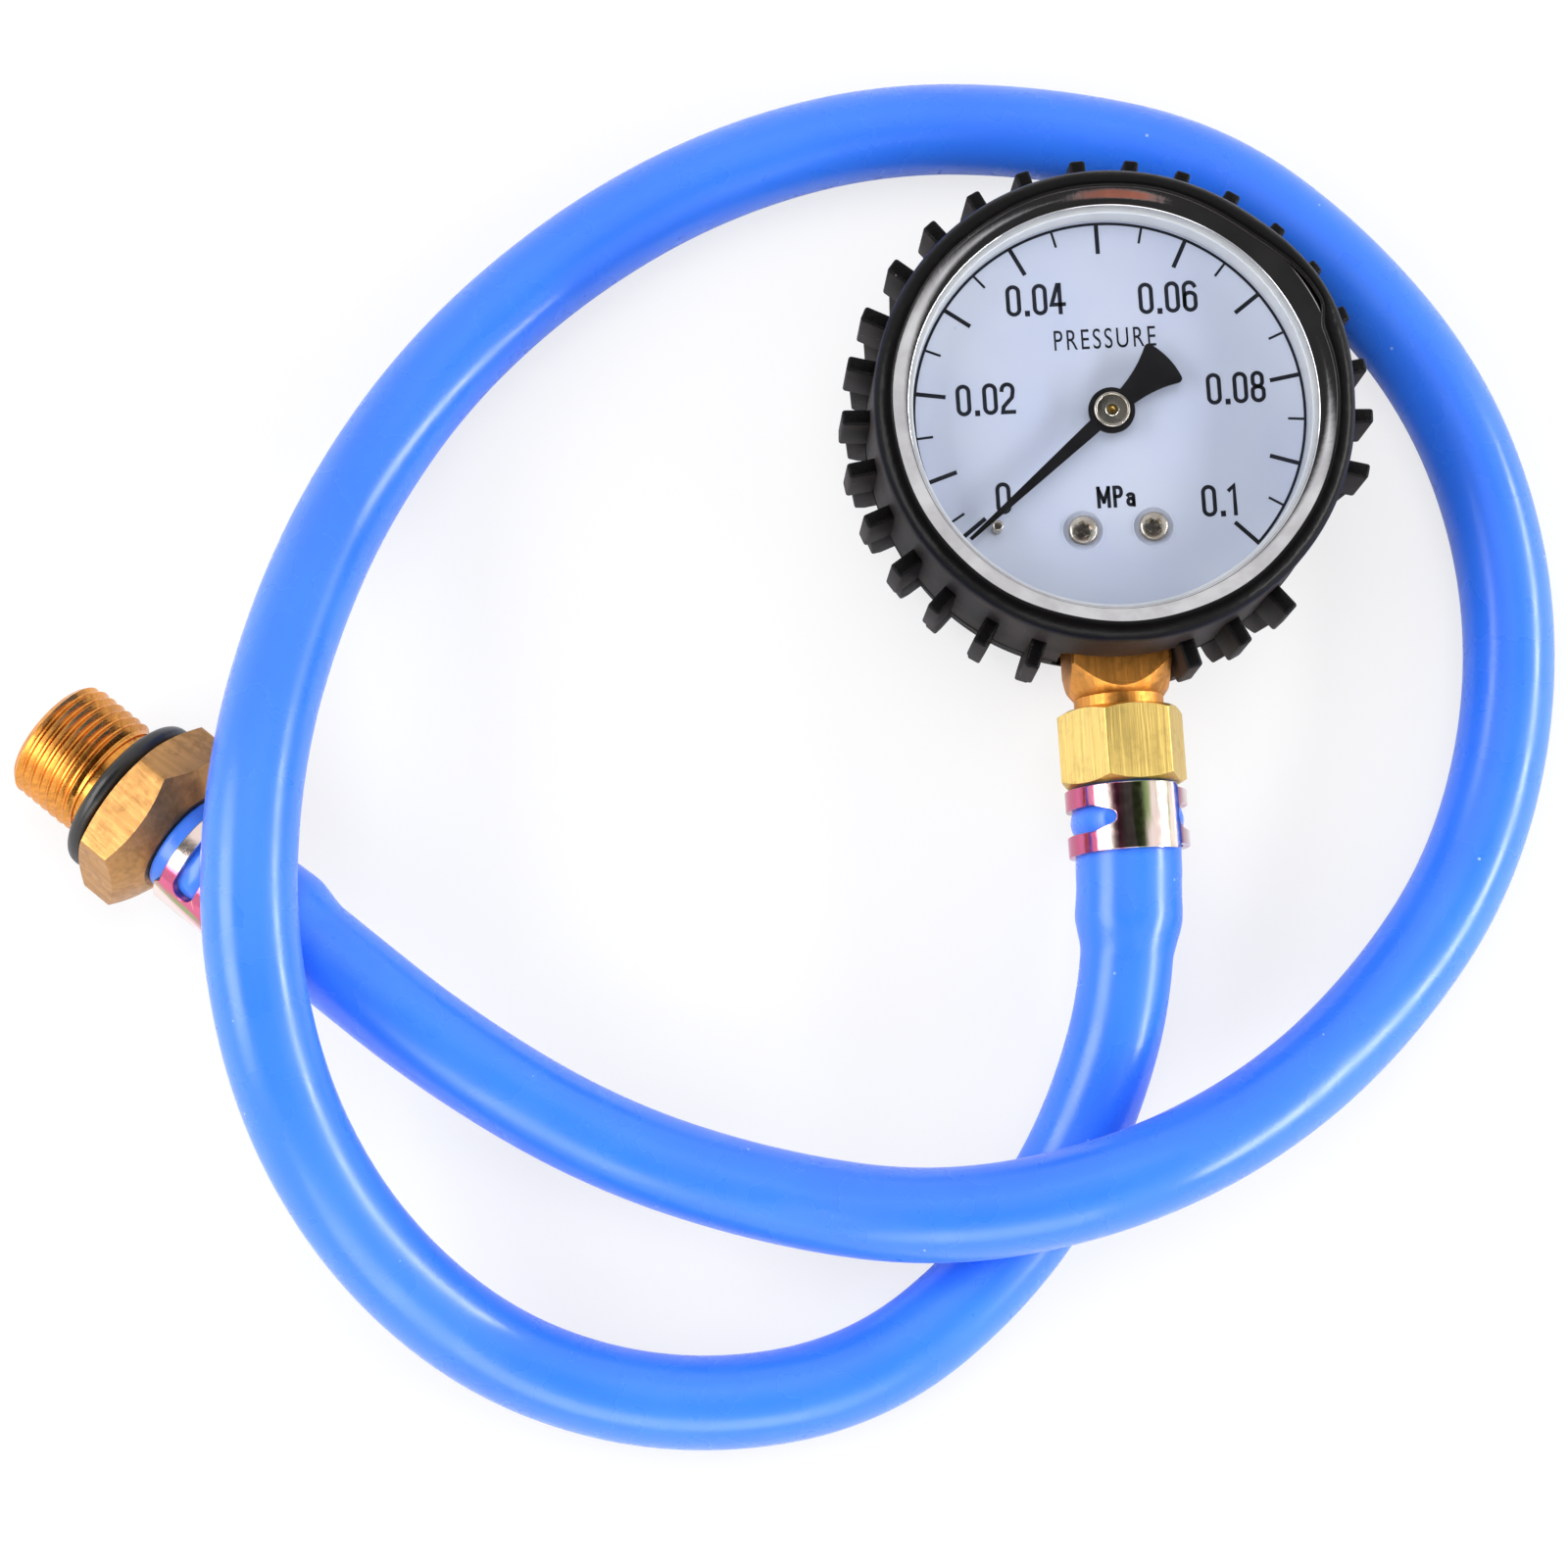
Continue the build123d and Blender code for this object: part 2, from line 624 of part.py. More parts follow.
# Stem block: square outside the case, deeper inside it, with a shelf for the movement and a threaded end
with BuildPart() as stem_block:
    with BuildSketch(stem_frame.offset(block_reach - case_wall)) as block_outside:
        Rectangle(block_side, block_side)
    extrude(amount=block_end - block_reach + case_wall)
    chamfer(stem_block.edges().filter_by(Axis.Y), block_edge)
    with BuildSketch(Plane.XZ.offset(block_inner)) as block_inside:
        with Locations((0, (block_floor_z + block_shelf_z) / 2)):
            Rectangle(block_side, block_shelf_z - block_floor_z)
    extrude(amount=block_reach - block_inner)
    # Turned end: a cone over the square's corners, a neck and the shank of the thread
    with BuildSketch(section_plane(stem_frame)) as turned_corners:
        with BuildLine():
            Polyline(
                (block_cone_radius, block_end),
                (block_side, block_end),
                (block_side, block_end - block_cone_length),
                (block_side / sqrt(2), block_end - block_cone_length),
                close=True,
            )
        make_face()
    revolve(axis=axis_of(stem_frame), mode=Mode.SUBTRACT)
    with BuildSketch(section_plane(stem_frame)) as shank:
        with BuildLine():
            Polyline(
                (0, block_end - block_cone_length),
                (stem_neck_radius, block_end - block_cone_length),
                (stem_neck_radius, nut_start + nut_face_inset),
                (stem_thread_radius, nut_start + 2 * nut_face_inset),
                (stem_thread_radius, stem_end - nut_face_inset),
                (stem_thread_radius - nut_face_inset, stem_end),
                (0, stem_end),
                close=True,
            )
        make_face()
    revolve(axis=axis_of(stem_frame))
    with BuildSketch(stem_frame.offset(stem_end)) as mouth:
        Circle(stem_mouth_radius)
    extrude(amount=-stem_mouth_depth, mode=Mode.SUBTRACT)
    with BuildSketch(stem_frame.offset(stem_end)) as passage:
        Circle(stem_passage_radius)
    extrude(amount=tube_radius - stem_end, mode=Mode.SUBTRACT)
    # Slot that the Bourdon tube is soldered into, open to the passage
    with BuildSketch(section_plane(Plane.XY, slot_start)) as tube_slot:
        with Locations((tube_radius, tube_z)):
            Rectangle(tube_radial + 2 * fit_gap, tube_axial + 2 * fit_gap)
    revolve(axis=Axis.Z, revolution_arc=slot_end - slot_start, mode=Mode.SUBTRACT)
    with Locations(*block_spots):
        add(case_screw_hole.part, mode=Mode.SUBTRACT)
    with BuildSketch(Plane.XY.offset(block_shelf_z)) as movement_holes:
        with Locations(*block_spots):
            Circle(movement_screw_radius + fit_gap)
    extrude(amount=-block_screw_depth - fit_gap, mode=Mode.SUBTRACT)
stem_block.part.label = "stem_block"
export_step(stem_block.part, "parts/stem_block.step")

# Restrictor: a plug with a pinhole, at the bottom of the stem's mouth
with BuildPart() as restrictor:
    with BuildSketch(stem_frame.offset(stem_end - stem_mouth_depth)):
        Circle(stem_mouth_radius - fit_gap)
        Circle(restrictor_hole, mode=Mode.SUBTRACT)
    extrude(amount=restrictor_length)
restrictor.part.label = "restrictor"
export_step(restrictor.part, "parts/restrictor.step")

# Case screws, from behind through the case into the stem block
for number, (x, y) in enumerate(block_spots, start=1):
    with BuildPart() as case_screw:
        with BuildSketch(Plane(origin=(x, y, 0), x_dir=(1, 0, 0), z_dir=(0, -1, 0))):
            with BuildLine():
                Polyline(*countersunk(0), close=True)
            make_face()
        revolve(axis=Axis((x, y, 0), (0, 0, 1)))
    case_screw.part.label = f"case_screw_{number}"
    export_step(case_screw.part, f"parts/case_screw_{number}.step")

# Bourdon tube: flattened brass tube bent to most of a circle
with BuildPart() as bourdon_tube:
    with BuildSketch(section_plane(Plane.XY, tube_start)):
        with Locations((tube_radius, tube_z)):
            SlotOverall(tube_axial, tube_radial, rotation=90)
            SlotOverall(
                tube_axial - 2 * tube_wall, tube_radial - 2 * tube_wall, rotation=90, mode=Mode.SUBTRACT
            )
    revolve(axis=Axis.Z, revolution_arc=tube_end - tube_start)
bourdon_tube.part.label = "bourdon_tube"
export_step(bourdon_tube.part, "parts/bourdon_tube.step")

# End piece of the tube, with an ear and a post for the link
tip_base_z = tube_z + tube_axial / 2 + tip_wall
tip_middle = polar(tube_radius, tube_end + tip_arc / 2)
ear_line = Vector(*tip_spot) - Vector(*tip_middle)
ear_plane = Plane(origin=(*tip_middle, tip_base_z), x_dir=ear_line, z_dir=(0, 0, 1))
ear_reach = ear_line.length
with BuildPart() as tube_tip:
    with BuildSketch(section_plane(Plane.XY, tube_end)):
        with Locations((tube_radius, tube_z)):
            Rectangle(tube_radial + 2 * tip_wall, tube_axial + 2 * tip_wall)
    revolve(axis=Axis.Z, revolution_arc=tip_arc)
    with BuildSketch(ear_plane):
        with Locations((ear_reach / 2, 0)):
            SlotOverall(ear_reach + tip_ear_width, tip_ear_width)
    extrude(amount=tip_ear_thickness)
    with BuildSketch(Plane(origin=(*tip_spot, tip_base_z))):
        Circle(tip_post_radius)
    extrude(amount=link_z - end_shake - tip_base_z)
    with BuildSketch(Plane(origin=(*tip_spot, tip_base_z))):
        Circle(link_pin_radius)
    extrude(amount=link_z + link_thickness + link_pin_head - tip_base_z)
tube_tip.part.label = "tube_tip"
export_step(tube_tip.part, "parts/tube_tip.step")


def movement_plate(z, pivot_holes):
    """Outline of a movement plate at a height, with holes for its screws and for its (spot, radius) pivots."""
    with BuildSketch(Plane.XY.offset(z)) as plate_outline:
        with BuildLine():
            Polyline(
                (plate_inset - block_side / 2, block_screw_y - plate_back_margin),
                (block_side / 2 - plate_inset, block_screw_y - plate_back_margin),
                (pillar_spots[0][0] + plate_margin, pillar_spots[0][1] - plate_side_margin),
                (pillar_spots[0][0] + plate_margin, pillar_spots[0][1] + plate_side_margin),
                plate_head,
                (-plate_head[0], plate_head[1]),
                (pillar_spots[1][0] - plate_margin, pillar_spots[1][1] + plate_side_margin),
                (pillar_spots[1][0] - plate_margin, pillar_spots[1][1] - plate_side_margin),
                (plate_inset - block_side / 2, block_screw_y + plate_shoulder),
                close=True,
            )
        make_face()
        fillet(plate_outline.vertices(), plate_round)
        with Locations(*pillar_spots, *block_spots):
            Circle(movement_screw_radius + fit_gap, mode=Mode.SUBTRACT)
        for spot, radius in pivot_holes:
            with Locations(spot):
                Circle(radius + shaft_gap, mode=Mode.SUBTRACT)
    return plate_outline.sketch


# Movement plates
back_outline = movement_plate(plate_back_z, [((0, 0), pivot_radius), (sector_spot, pivot_radius)])
with BuildPart() as back_plate:
    extrude(back_outline, amount=plate_thickness)
back_plate.part.label = "back_plate"
export_step(back_plate.part, "parts/back_plate.step")

front_outline = movement_plate(plate_front_z, [((0, 0), pinion_front), (sector_spot, pivot_radius)])
with BuildPart() as front_plate:
    extrude(front_outline, amount=plate_thickness)
front_plate.part.label = "front_plate"
export_step(front_plate.part, "parts/front_plate.step")

# Pillars between the plates, and a screw through each: two end in the back plate and two in the stem block
screw_ends = [plate_back_z] * len(pillar_spots) + [block_shelf_z - block_screw_depth] * len(block_spots)
for number, (x, y) in enumerate(pillar_spots + block_spots, start=1):
    with BuildPart() as pillar:
        with BuildSketch(Plane(origin=(x, y, plate_space_z))):
            Circle(pillar_radius)
            Circle(movement_screw_radius + fit_gap, mode=Mode.SUBTRACT)
        extrude(amount=plate_space)
    pillar.part.label = f"pillar_{number}"
    export_step(pillar.part, f"parts/pillar_{number}.step")
    with BuildPart() as movement_screw:
        with BuildSketch(Plane(origin=(x, y, screw_ends[number - 1]))):
            Circle(movement_screw_radius)
        extrude(amount=plate_top_z - screw_ends[number - 1])
        with BuildSketch(Plane(origin=(x, y, plate_top_z))):
            Circle(movement_screw_head_radius)
        extrude(amount=movement_screw_head)
    movement_screw.part.label = f"movement_screw_{number}"
    export_step(movement_screw.part, f"parts/movement_screw_{number}.step")


def involute(radius, base_radius):
    """Degrees from the foot of an involute to its point at a radius."""
    slope = acos(base_radius / radius)
    return degrees(tan(slope) - slope)


def gear_tooth(teeth):
    """One tooth of a gear, along +X from its centre; the flanks are arcs through three points of the involute."""
    pitch_radius = gear_module * teeth / 2
    base_radius = pitch_radius * cos(radians(pressure_angle))
    tip_radius = pitch_radius + tooth_addendum * gear_module
    root_radius = pitch_radius - tooth_dedendum * gear_module
    foot_radius = max(base_radius, root_radius)
    half_angle = 90 / teeth * (1 - mesh_backlash) + involute(pitch_radius, base_radius)
    flank = [
        polar(radius, half_angle - involute(radius, base_radius))
        for radius in (foot_radius, (foot_radius + tip_radius) / 2, tip_radius)
    ]
    sunk = (root_radius - gear_module / 2, flank[0][1])
    with BuildSketch() as tooth:
        with BuildLine():
            Line(sunk, flank[0])
            ThreePointArc(*flank)
            Line(flank[2], (flank[2][0], -flank[2][1]))
            ThreePointArc(*[(x, -y) for x, y in reversed(flank)])
            Line((flank[0][0], -flank[0][1]), (sunk[0], -sunk[1]))
            Line((sunk[0], -sunk[1]), sunk)
        make_face()
    return tooth.sketch


# Pinion arbor: pivot, twelve teeth, hairspring seat, front journal and the end that shows in the pointer's cap
pinion_phase = sector_angle + 180 / pinion_teeth
pinion_angles = [pinion_phase + k * 360 / pinion_teeth for k in range(pinion_teeth)]
pinion_tooth = gear_tooth(pinion_teeth)
with BuildPart() as pinion_arbor:
    with BuildSketch(Plane.XZ):
        with BuildLine():
            Polyline(
                (0, plate_back_z),
                (pivot_radius, plate_back_z),
                (pivot_radius, plate_space_z + end_shake),
                (pinion_shaft, plate_space_z + end_shake),
                (pinion_shaft, plate_front_z - end_shake),
                (pinion_front, plate_front_z - end_shake),
                (pinion_front, cap_z + pointer_cap_height),
                (pinion_front / 2, cap_z + pointer_cap_height),
                (0, cap_z + pointer_cap_height - pinion_front / 2),
                close=True,
            )
        make_face()
    revolve(axis=Axis.Z)
    with BuildSketch(Plane.XY.offset(pinion_z)):
        Circle(pinion_pitch_radius - tooth_dedendum * gear_module)
        with Locations(*[Location((0, 0, 0), (0, 0, angle)) for angle in pinion_angles]):
            add(pinion_tooth)
    extrude(amount=pinion_height)
pinion_arbor.part.label = "pinion_arbor"
export_step(pinion_arbor.part, "parts/pinion_arbor.step")

# Toothed sector with an opening, and the tail that the link pulls
mesh_angle = sector_angle + 180
tooth_step = 360 / sector_teeth
sector_root = sector_pitch_radius - tooth_dedendum * gear_module
first_tooth = -floor((sector_travel + sector_margin) / tooth_step)
last_tooth = floor(sector_margin / tooth_step)
sector_angles = [mesh_angle + k * tooth_step for k in range(first_tooth, last_tooth + 1)]
fan_start = mesh_angle + (first_tooth - 0.5) * tooth_step
fan_arc = (last_tooth - first_tooth + 1) * tooth_step
sector_plane = Plane(origin=(*sector_spot, sector_z))
sector_tooth = gear_tooth(sector_teeth)
with BuildPart() as sector:
    with BuildSketch(sector_plane):
        with BuildLine():
            Line((0, 0), polar(sector_root, fan_start))
            CenterArc((0, 0), sector_root, fan_start, fan_arc)
            Line(polar(sector_root, fan_start + fan_arc), (0, 0))
        make_face()
        with BuildLine():
            window_outer = sector_root - sector_rim
            inner_inset = degrees(sector_arm / sector_window_inner)
            outer_inset = degrees(sector_arm / window_outer)
            Line(
                polar(sector_window_inner, fan_start + inner_inset),
                polar(window_outer, fan_start + outer_inset),
            )
            CenterArc((0, 0), window_outer, fan_start + outer_inset, fan_arc - 2 * outer_inset)
            Line(
                polar(window_outer, fan_start + fan_arc - outer_inset),
                polar(sector_window_inner, fan_start + fan_arc - inner_inset),
            )
            CenterArc((0, 0), sector_window_inner, fan_start + inner_inset, fan_arc - 2 * inner_inset)
        make_face(mode=Mode.SUBTRACT)
        Circle(sector_hub_radius)
        with Locations(polar(tail_length / 2, tail_angle)):
            SlotOverall(tail_length + tail_width, tail_width, rotation=tail_angle)
        with Locations(*[Location((0, 0, 0), (0, 0, angle)) for angle in sector_angles]):
            add(sector_tooth)
        Circle(sector_arbor_radius + fit_gap, mode=Mode.SUBTRACT)
        with Locations(polar(tail_length, tail_angle)):
            Circle(link_pin_radius + fit_gap, mode=Mode.SUBTRACT)
    extrude(amount=sector_thickness)
sector.part.label = "sector"
export_step(sector.part, "parts/sector.step")

# Sector arbor
with BuildPart() as sector_arbor:
    with BuildSketch(Plane(origin=(*sector_spot, plate_back_z + fit_gap))):
        Circle(pivot_radius)
    extrude(amount=plate_top_z - plate_back_z)
    with BuildSketch(Plane(origin=(*sector_spot, plate_space_z + end_shake))):
        Circle(sector_arbor_radius)
    extrude(amount=plate_space - 2 * end_shake)
sector_arbor.part.label = "sector_arbor"
export_step(sector_arbor.part, "parts/sector_arbor.step")

# Link and the pin that hangs it on the sector's tail
with BuildPart() as link_pin:
    with BuildSketch(Plane(origin=(*link_spot, link_z - shaft_gap - link_pin_head))):
        Circle(2 * link_pin_radius)
    extrude(amount=link_pin_head)
    with BuildSketch(Plane(origin=(*link_spot, link_z - shaft_gap))):
        Circle(link_pin_radius)
    extrude(amount=sector_z + sector_thickness + end_shake - link_z)
link_pin.part.label = "link_pin"
export_step(link_pin.part, "parts/link_pin.step")

with BuildPart() as link:
    with BuildSketch(turned(Plane(origin=(*link_spot, link_z)), link_angle)):
        with Locations((link_length / 2, 0)):
            Rectangle(link_length, link_width)
        with Locations((0, 0), (link_length, 0)):
            Circle(link_eye)
        Circle(link_pin_radius + shaft_gap, mode=Mode.SUBTRACT)
        with Locations((link_length, 0)):
            Circle(link_pin_radius + link_play, mode=Mode.SUBTRACT)
    extrude(amount=link_thickness)
link.part.label = "link"
export_step(link.part, "parts/link.step")

# Hairspring: a strip along half turns whose radius grows by half a pitch, on a collet, pinned in a stud
with BuildPart() as hairspring:
    with BuildLine(Plane.XY.offset(spring_z + spring_height / 2)) as spiral:
        for half_turn in range(2 * spring_turns):
            on_left = half_turn % 2
            radius = spring_start + half_turn * spring_pitch / 2
            CenterArc((on_left * spring_pitch / 2, 0), radius, 180 * on_left, 180)
    strip_origin = (spring_start, 0, spring_z + spring_height / 2)
    with BuildSketch(Plane(origin=strip_origin, x_dir=(1, 0, 0), z_dir=(0, 1, 0))):
        Rectangle(spring_strip, spring_height)
    sweep(path=spiral.wires()[0])
hairspring.part.label = "hairspring"
export_step(hairspring.part, "parts/hairspring.step")

collet_z = spring_z + spring_height / 2 - collet_height / 2
with BuildPart() as hairspring_collet:
    with BuildSketch(Plane.XY.offset(collet_z)):
        Circle(spring_start - spring_strip / 2 - fit_gap)
        Circle(pinion_shaft + fit_gap, mode=Mode.SUBTRACT)
    extrude(amount=collet_height)
hairspring_collet.part.label = "hairspring_collet"
export_step(hairspring_collet.part, "parts/hairspring_collet.step")

spring_end = spring_start + spring_turns * spring_pitch
with BuildPart() as hairspring_stud:
    with BuildSketch(Plane.XY.offset(collet_z)):
        with Locations((spring_end, 0)):
            Rectangle(stud_width, stud_width)
    extrude(amount=plate_front_z - collet_z)
    with BuildSketch(Plane.XY.offset(collet_z)):
        with Locations((spring_end, 0)):
            Rectangle(stud_slit, stud_width)
    extrude(amount=collet_height, mode=Mode.SUBTRACT)
hairspring_stud.part.label = "hairspring_stud"
export_step(hairspring_stud.part, "parts/hairspring_stud.step")


def barbed_tube():
    """Half outline of a barbed tube that starts in a hexagon: saw teeth that ease the hose on and hold it."""
    step = barb_length / barb_count
    points = [(barb_bore, -end_hex_corner / 2), (barb_root, -end_hex_corner / 2)]
    for index in range(barb_count):
        crest = index * step + step / 3
        points.append((barb_root, index * step + step / 3 - fit_gap))
        points.append((barb_radius, crest))
        points.append((barb_radius, crest + barb_land))
        points.append((barb_root, (index + 1) * step))
    points.append((barb_bore, barb_length))
    return points


# Hose fitting of the gauge: a nut with a barbed tube
nut_corner_radius = nut_flats / sqrt(3)
nut_face_radius = nut_flats / 2 - nut_face_inset
nut_cone = (nut_corner_radius - nut_face_radius) * tan(radians(30))
with BuildPart() as gauge_fitting:
    with BuildSketch(nut_frame):
        RegularPolygon(nut_flats / 2, 6, major_radius=False, rotation=30 - nut_turn)
    extrude(amount=nut_length)
    with BuildSketch(section_plane(nut_frame)) as nut_turning:
        with BuildLine():
            Polyline(
                (0, 0),
                (nut_face_radius, 0),
                (nut_corner_radius, nut_cone),
                (nut_corner_radius, nut_length - nut_cone),
                (nut_face_radius, nut_length),
                (0, nut_length),
                close=True,
            )
        make_face()
    revolve(axis=axis_of(nut_frame), mode=Mode.INTERSECT)
    with BuildSketch(nut_frame):
        Circle(stem_thread_radius + fit_gap)
    extrude(amount=nut_length - nut_floor, mode=Mode.SUBTRACT)
    with BuildSketch(nut_face):
        Circle(barb_bore)
    extrude(amount=-nut_floor, mode=Mode.SUBTRACT)
    with BuildSketch(section_plane(nut_face)):
        with BuildLine():
            Polyline(*[(radius, max(along, -nut_floor)) for radius, along in barbed_tube()], close=True)
        make_face()
    revolve(axis=axis_of(nut_face))
gauge_fitting.part.label = "gauge_fitting"
export_step(gauge_fitting.part, "parts/gauge_fitting.step")

# Sealing washer between the stem's end and the nut's floor
with BuildPart() as sealing_washer:
    with BuildSketch(stem_frame.offset(stem_end)):
        Circle(stem_thread_radius - washer_gap)
        Circle(barb_bore, mode=Mode.SUBTRACT)
    extrude(amount=washer_thickness)
sealing_washer.part.label = "sealing_washer"
export_step(sealing_washer.part, "parts/sealing_washer.step")

# Adapter: threaded end with an O-ring seat, hexagon with a cone behind it, and a barbed tube
thread_end = end_seat + end_undercut + end_thread_length
with BuildPart() as end_adapter:
    with BuildSketch(end_frame):
        RegularPolygon(end_flats / 2, 6, major_radius=False, rotation=30 + end_roll)
    extrude(amount=end_hex_length)
    with BuildSketch(section_plane(end_frame)) as end_turning:
        with BuildLine():
            Polyline(
                (0, 0),
                (end_corner_radius, 0),
                (end_corner_radius, end_hex_corner),
                (end_cone_radius, end_hex_length),
                (0, end_hex_length),
                close=True,
            )
        make_face()
    revolve(axis=axis_of(end_frame), mode=Mode.INTERSECT)
    with BuildSketch(section_plane(end_frame)) as threaded_end:
        with BuildLine():
            Polyline(
                (0, end_hex_corner),
                (end_undercut_radius, end_hex_corner),
                (end_thread_radius, 0),
                (end_thread_radius, -end_seat),
                (end_undercut_radius, -end_seat),
                (end_undercut_radius, -end_seat - end_undercut),
                (end_thread_radius, -end_seat - end_undercut),
                (end_thread_radius, end_thread_edge - thread_end),
                (end_thread_radius - end_thread_edge, -thread_end),
                (0, -thread_end),
                close=True,
            )
        make_face()
    revolve(axis=axis_of(end_frame))
    with BuildSketch(section_plane(end_face)):
        with BuildLine():
            Polyline(*barbed_tube(), close=True)
        make_face()
    revolve(axis=axis_of(end_face))
    with BuildSketch(end_frame.offset(-thread_end)) as gas_passage:
        Circle(barb_bore)
    extrude(amount=thread_end + end_hex_length, mode=Mode.SUBTRACT)
end_adapter.part.label = "end_adapter"
export_step(end_adapter.part, "parts/end_adapter.step")

# O-ring on the adapter's seat, against the hexagon
with BuildPart() as end_oring:
    with BuildSketch(section_plane(end_frame)):
        with Locations((end_thread_radius + fit_gap + oring_section / 2, -fit_gap - oring_section / 2)):
            Circle(oring_section / 2)
    revolve(axis=axis_of(end_frame))
end_oring.part.label = "end_oring"
export_step(end_oring.part, "parts/end_oring.step")

# Route of the hose, from the nut's face to the adapter's hexagon: chosen by hand, the ends follow the fittings
hose_route = [
    nut_face.origin,
    nut_face.origin + nut_face.z_dir * hose_first_run,
    (-7.5, -97, 7.5),
    (-21, -116, 6.5),
    (-41, -130.5, 6.5),
    (-66, -133, 6.5),
    (-89, -126, 8.5),
    (-106, -111.5, 18),
    (-117, -92, 27.5),
    (-121.5, -68.5, 32.5),
    (-120, -44.5, 30),
    (-114.5, -22.5, 21.5),
    (-106, -2, 11.5),
    (-92.5, 17, 6.5),
    (-73.5, 32.5, 6.5),
    (-52, 43.5, 6.5),
    (-28.5, 49, 6.5),
    (-4.5, 47.5, 6.5),
    (19.5, 41, 6.5),
    (37.5, 25.5, 6.5),
    (51.5, 5.5, 6.5),
    (58, -18, 6.5),
    (57, -42, 6.5),
    (49, -65, 6.5),
    (34, -83.5, 8.5),
    (15.5, -97.5, 16),
    (-6.5, -106.5, 21.5),
    (-30.5, -109.5, 19),
    (-53.5, -104.5, 11.5),
    (-76, -95.5, 9),
    (-96.5, -82, 15),
    end_face.origin + end_face.z_dir * hose_last_run,
    end_face.origin,
]
hose_route = [Vector(*point) for point in hose_route]
hose_radii = []
for before, corner, after in zip(hose_route, hose_route[1:], hose_route[2:]):
    half_turn = radians((corner - before).get_angle(after - corner)) / 2
    hose_radii.append(0.45 * min((corner - before).length, (after - corner).length) / tan(half_turn))
print("hose radii", [round(radius) for radius in hose_radii])

# Hose: one tube, swollen where it is pushed over each barb
with BuildPart() as hose:
    with BuildLine() as hose_path:
        FilletPolyline(*hose_route, radius=hose_radii)
    with BuildSketch(Plane(nut_face.origin, z_dir=nut_face.z_dir)):
        Circle(hose_radius)
        Circle(hose_bore, mode=Mode.SUBTRACT)
    sweep(path=hose_path.wires()[0])
    for face in (nut_face, end_face):
        with BuildSketch(section_plane(face)) as swollen:
            with BuildLine():
                Polyline(
                    (hose_swell_bore, 0),
                    (hose_swell_radius, 0),
                    (hose_swell_radius, barb_length),
                    (hose_radius, barb_length + hose_swell_fade),
                    (hose_swell_bore, barb_length + hose_swell_fade),
                    close=True,
                )
            make_face()
        revolve(axis=axis_of(face))
        with BuildSketch(face):
            Circle(hose_swell_bore)
        extrude(amount=barb_length + fit_gap, mode=Mode.SUBTRACT)
hose.part.label = "hose"
export_step(hose.part, "parts/hose.step")
hose_length = hose_path.wires()[0].length
print("hose length", round(hose_length, 1), "volume", round(hose.part.volume))

# Spring band clamps: a fork from one side and a tongue from the other, each ending in an ear to squeeze
clamp_frames = {
    "gauge_clamp": nut_face.offset(clamp_free),
    "end_clamp": turned(end_face.offset(end_clamp_free), end_clamp_turn),
}
clamp_outer = clamp_bore + clamp_metal
clamp_middle = (clamp_bore + clamp_metal / 2, clamp_width / 2)
window_taper = degrees(clamp_window / clamp_outer)
half_end = clamp_tongue_close - degrees(clamp_bar / clamp_outer)


def window_end(frame, root, towards):
    """The end of a clamp's window as a sketch to cut through the band: wide, and narrowing to a small round."""
    side = section_plane(frame, root + towards * window_taper)
    outward = Plane(origin=side.origin, x_dir=frame.z_dir, z_dir=side.x_dir)
    with BuildSketch(outward.offset(clamp_bore / 2)) as ending:
        with Locations((clamp_width / 2, 0)):
            Circle(clamp_window / 2)
        with Locations((clamp_width / 2, -towards * (clamp_window - clamp_window_end / 2))):
            Circle(clamp_window_end / 2)
        make_hull()
    return ending.sketch


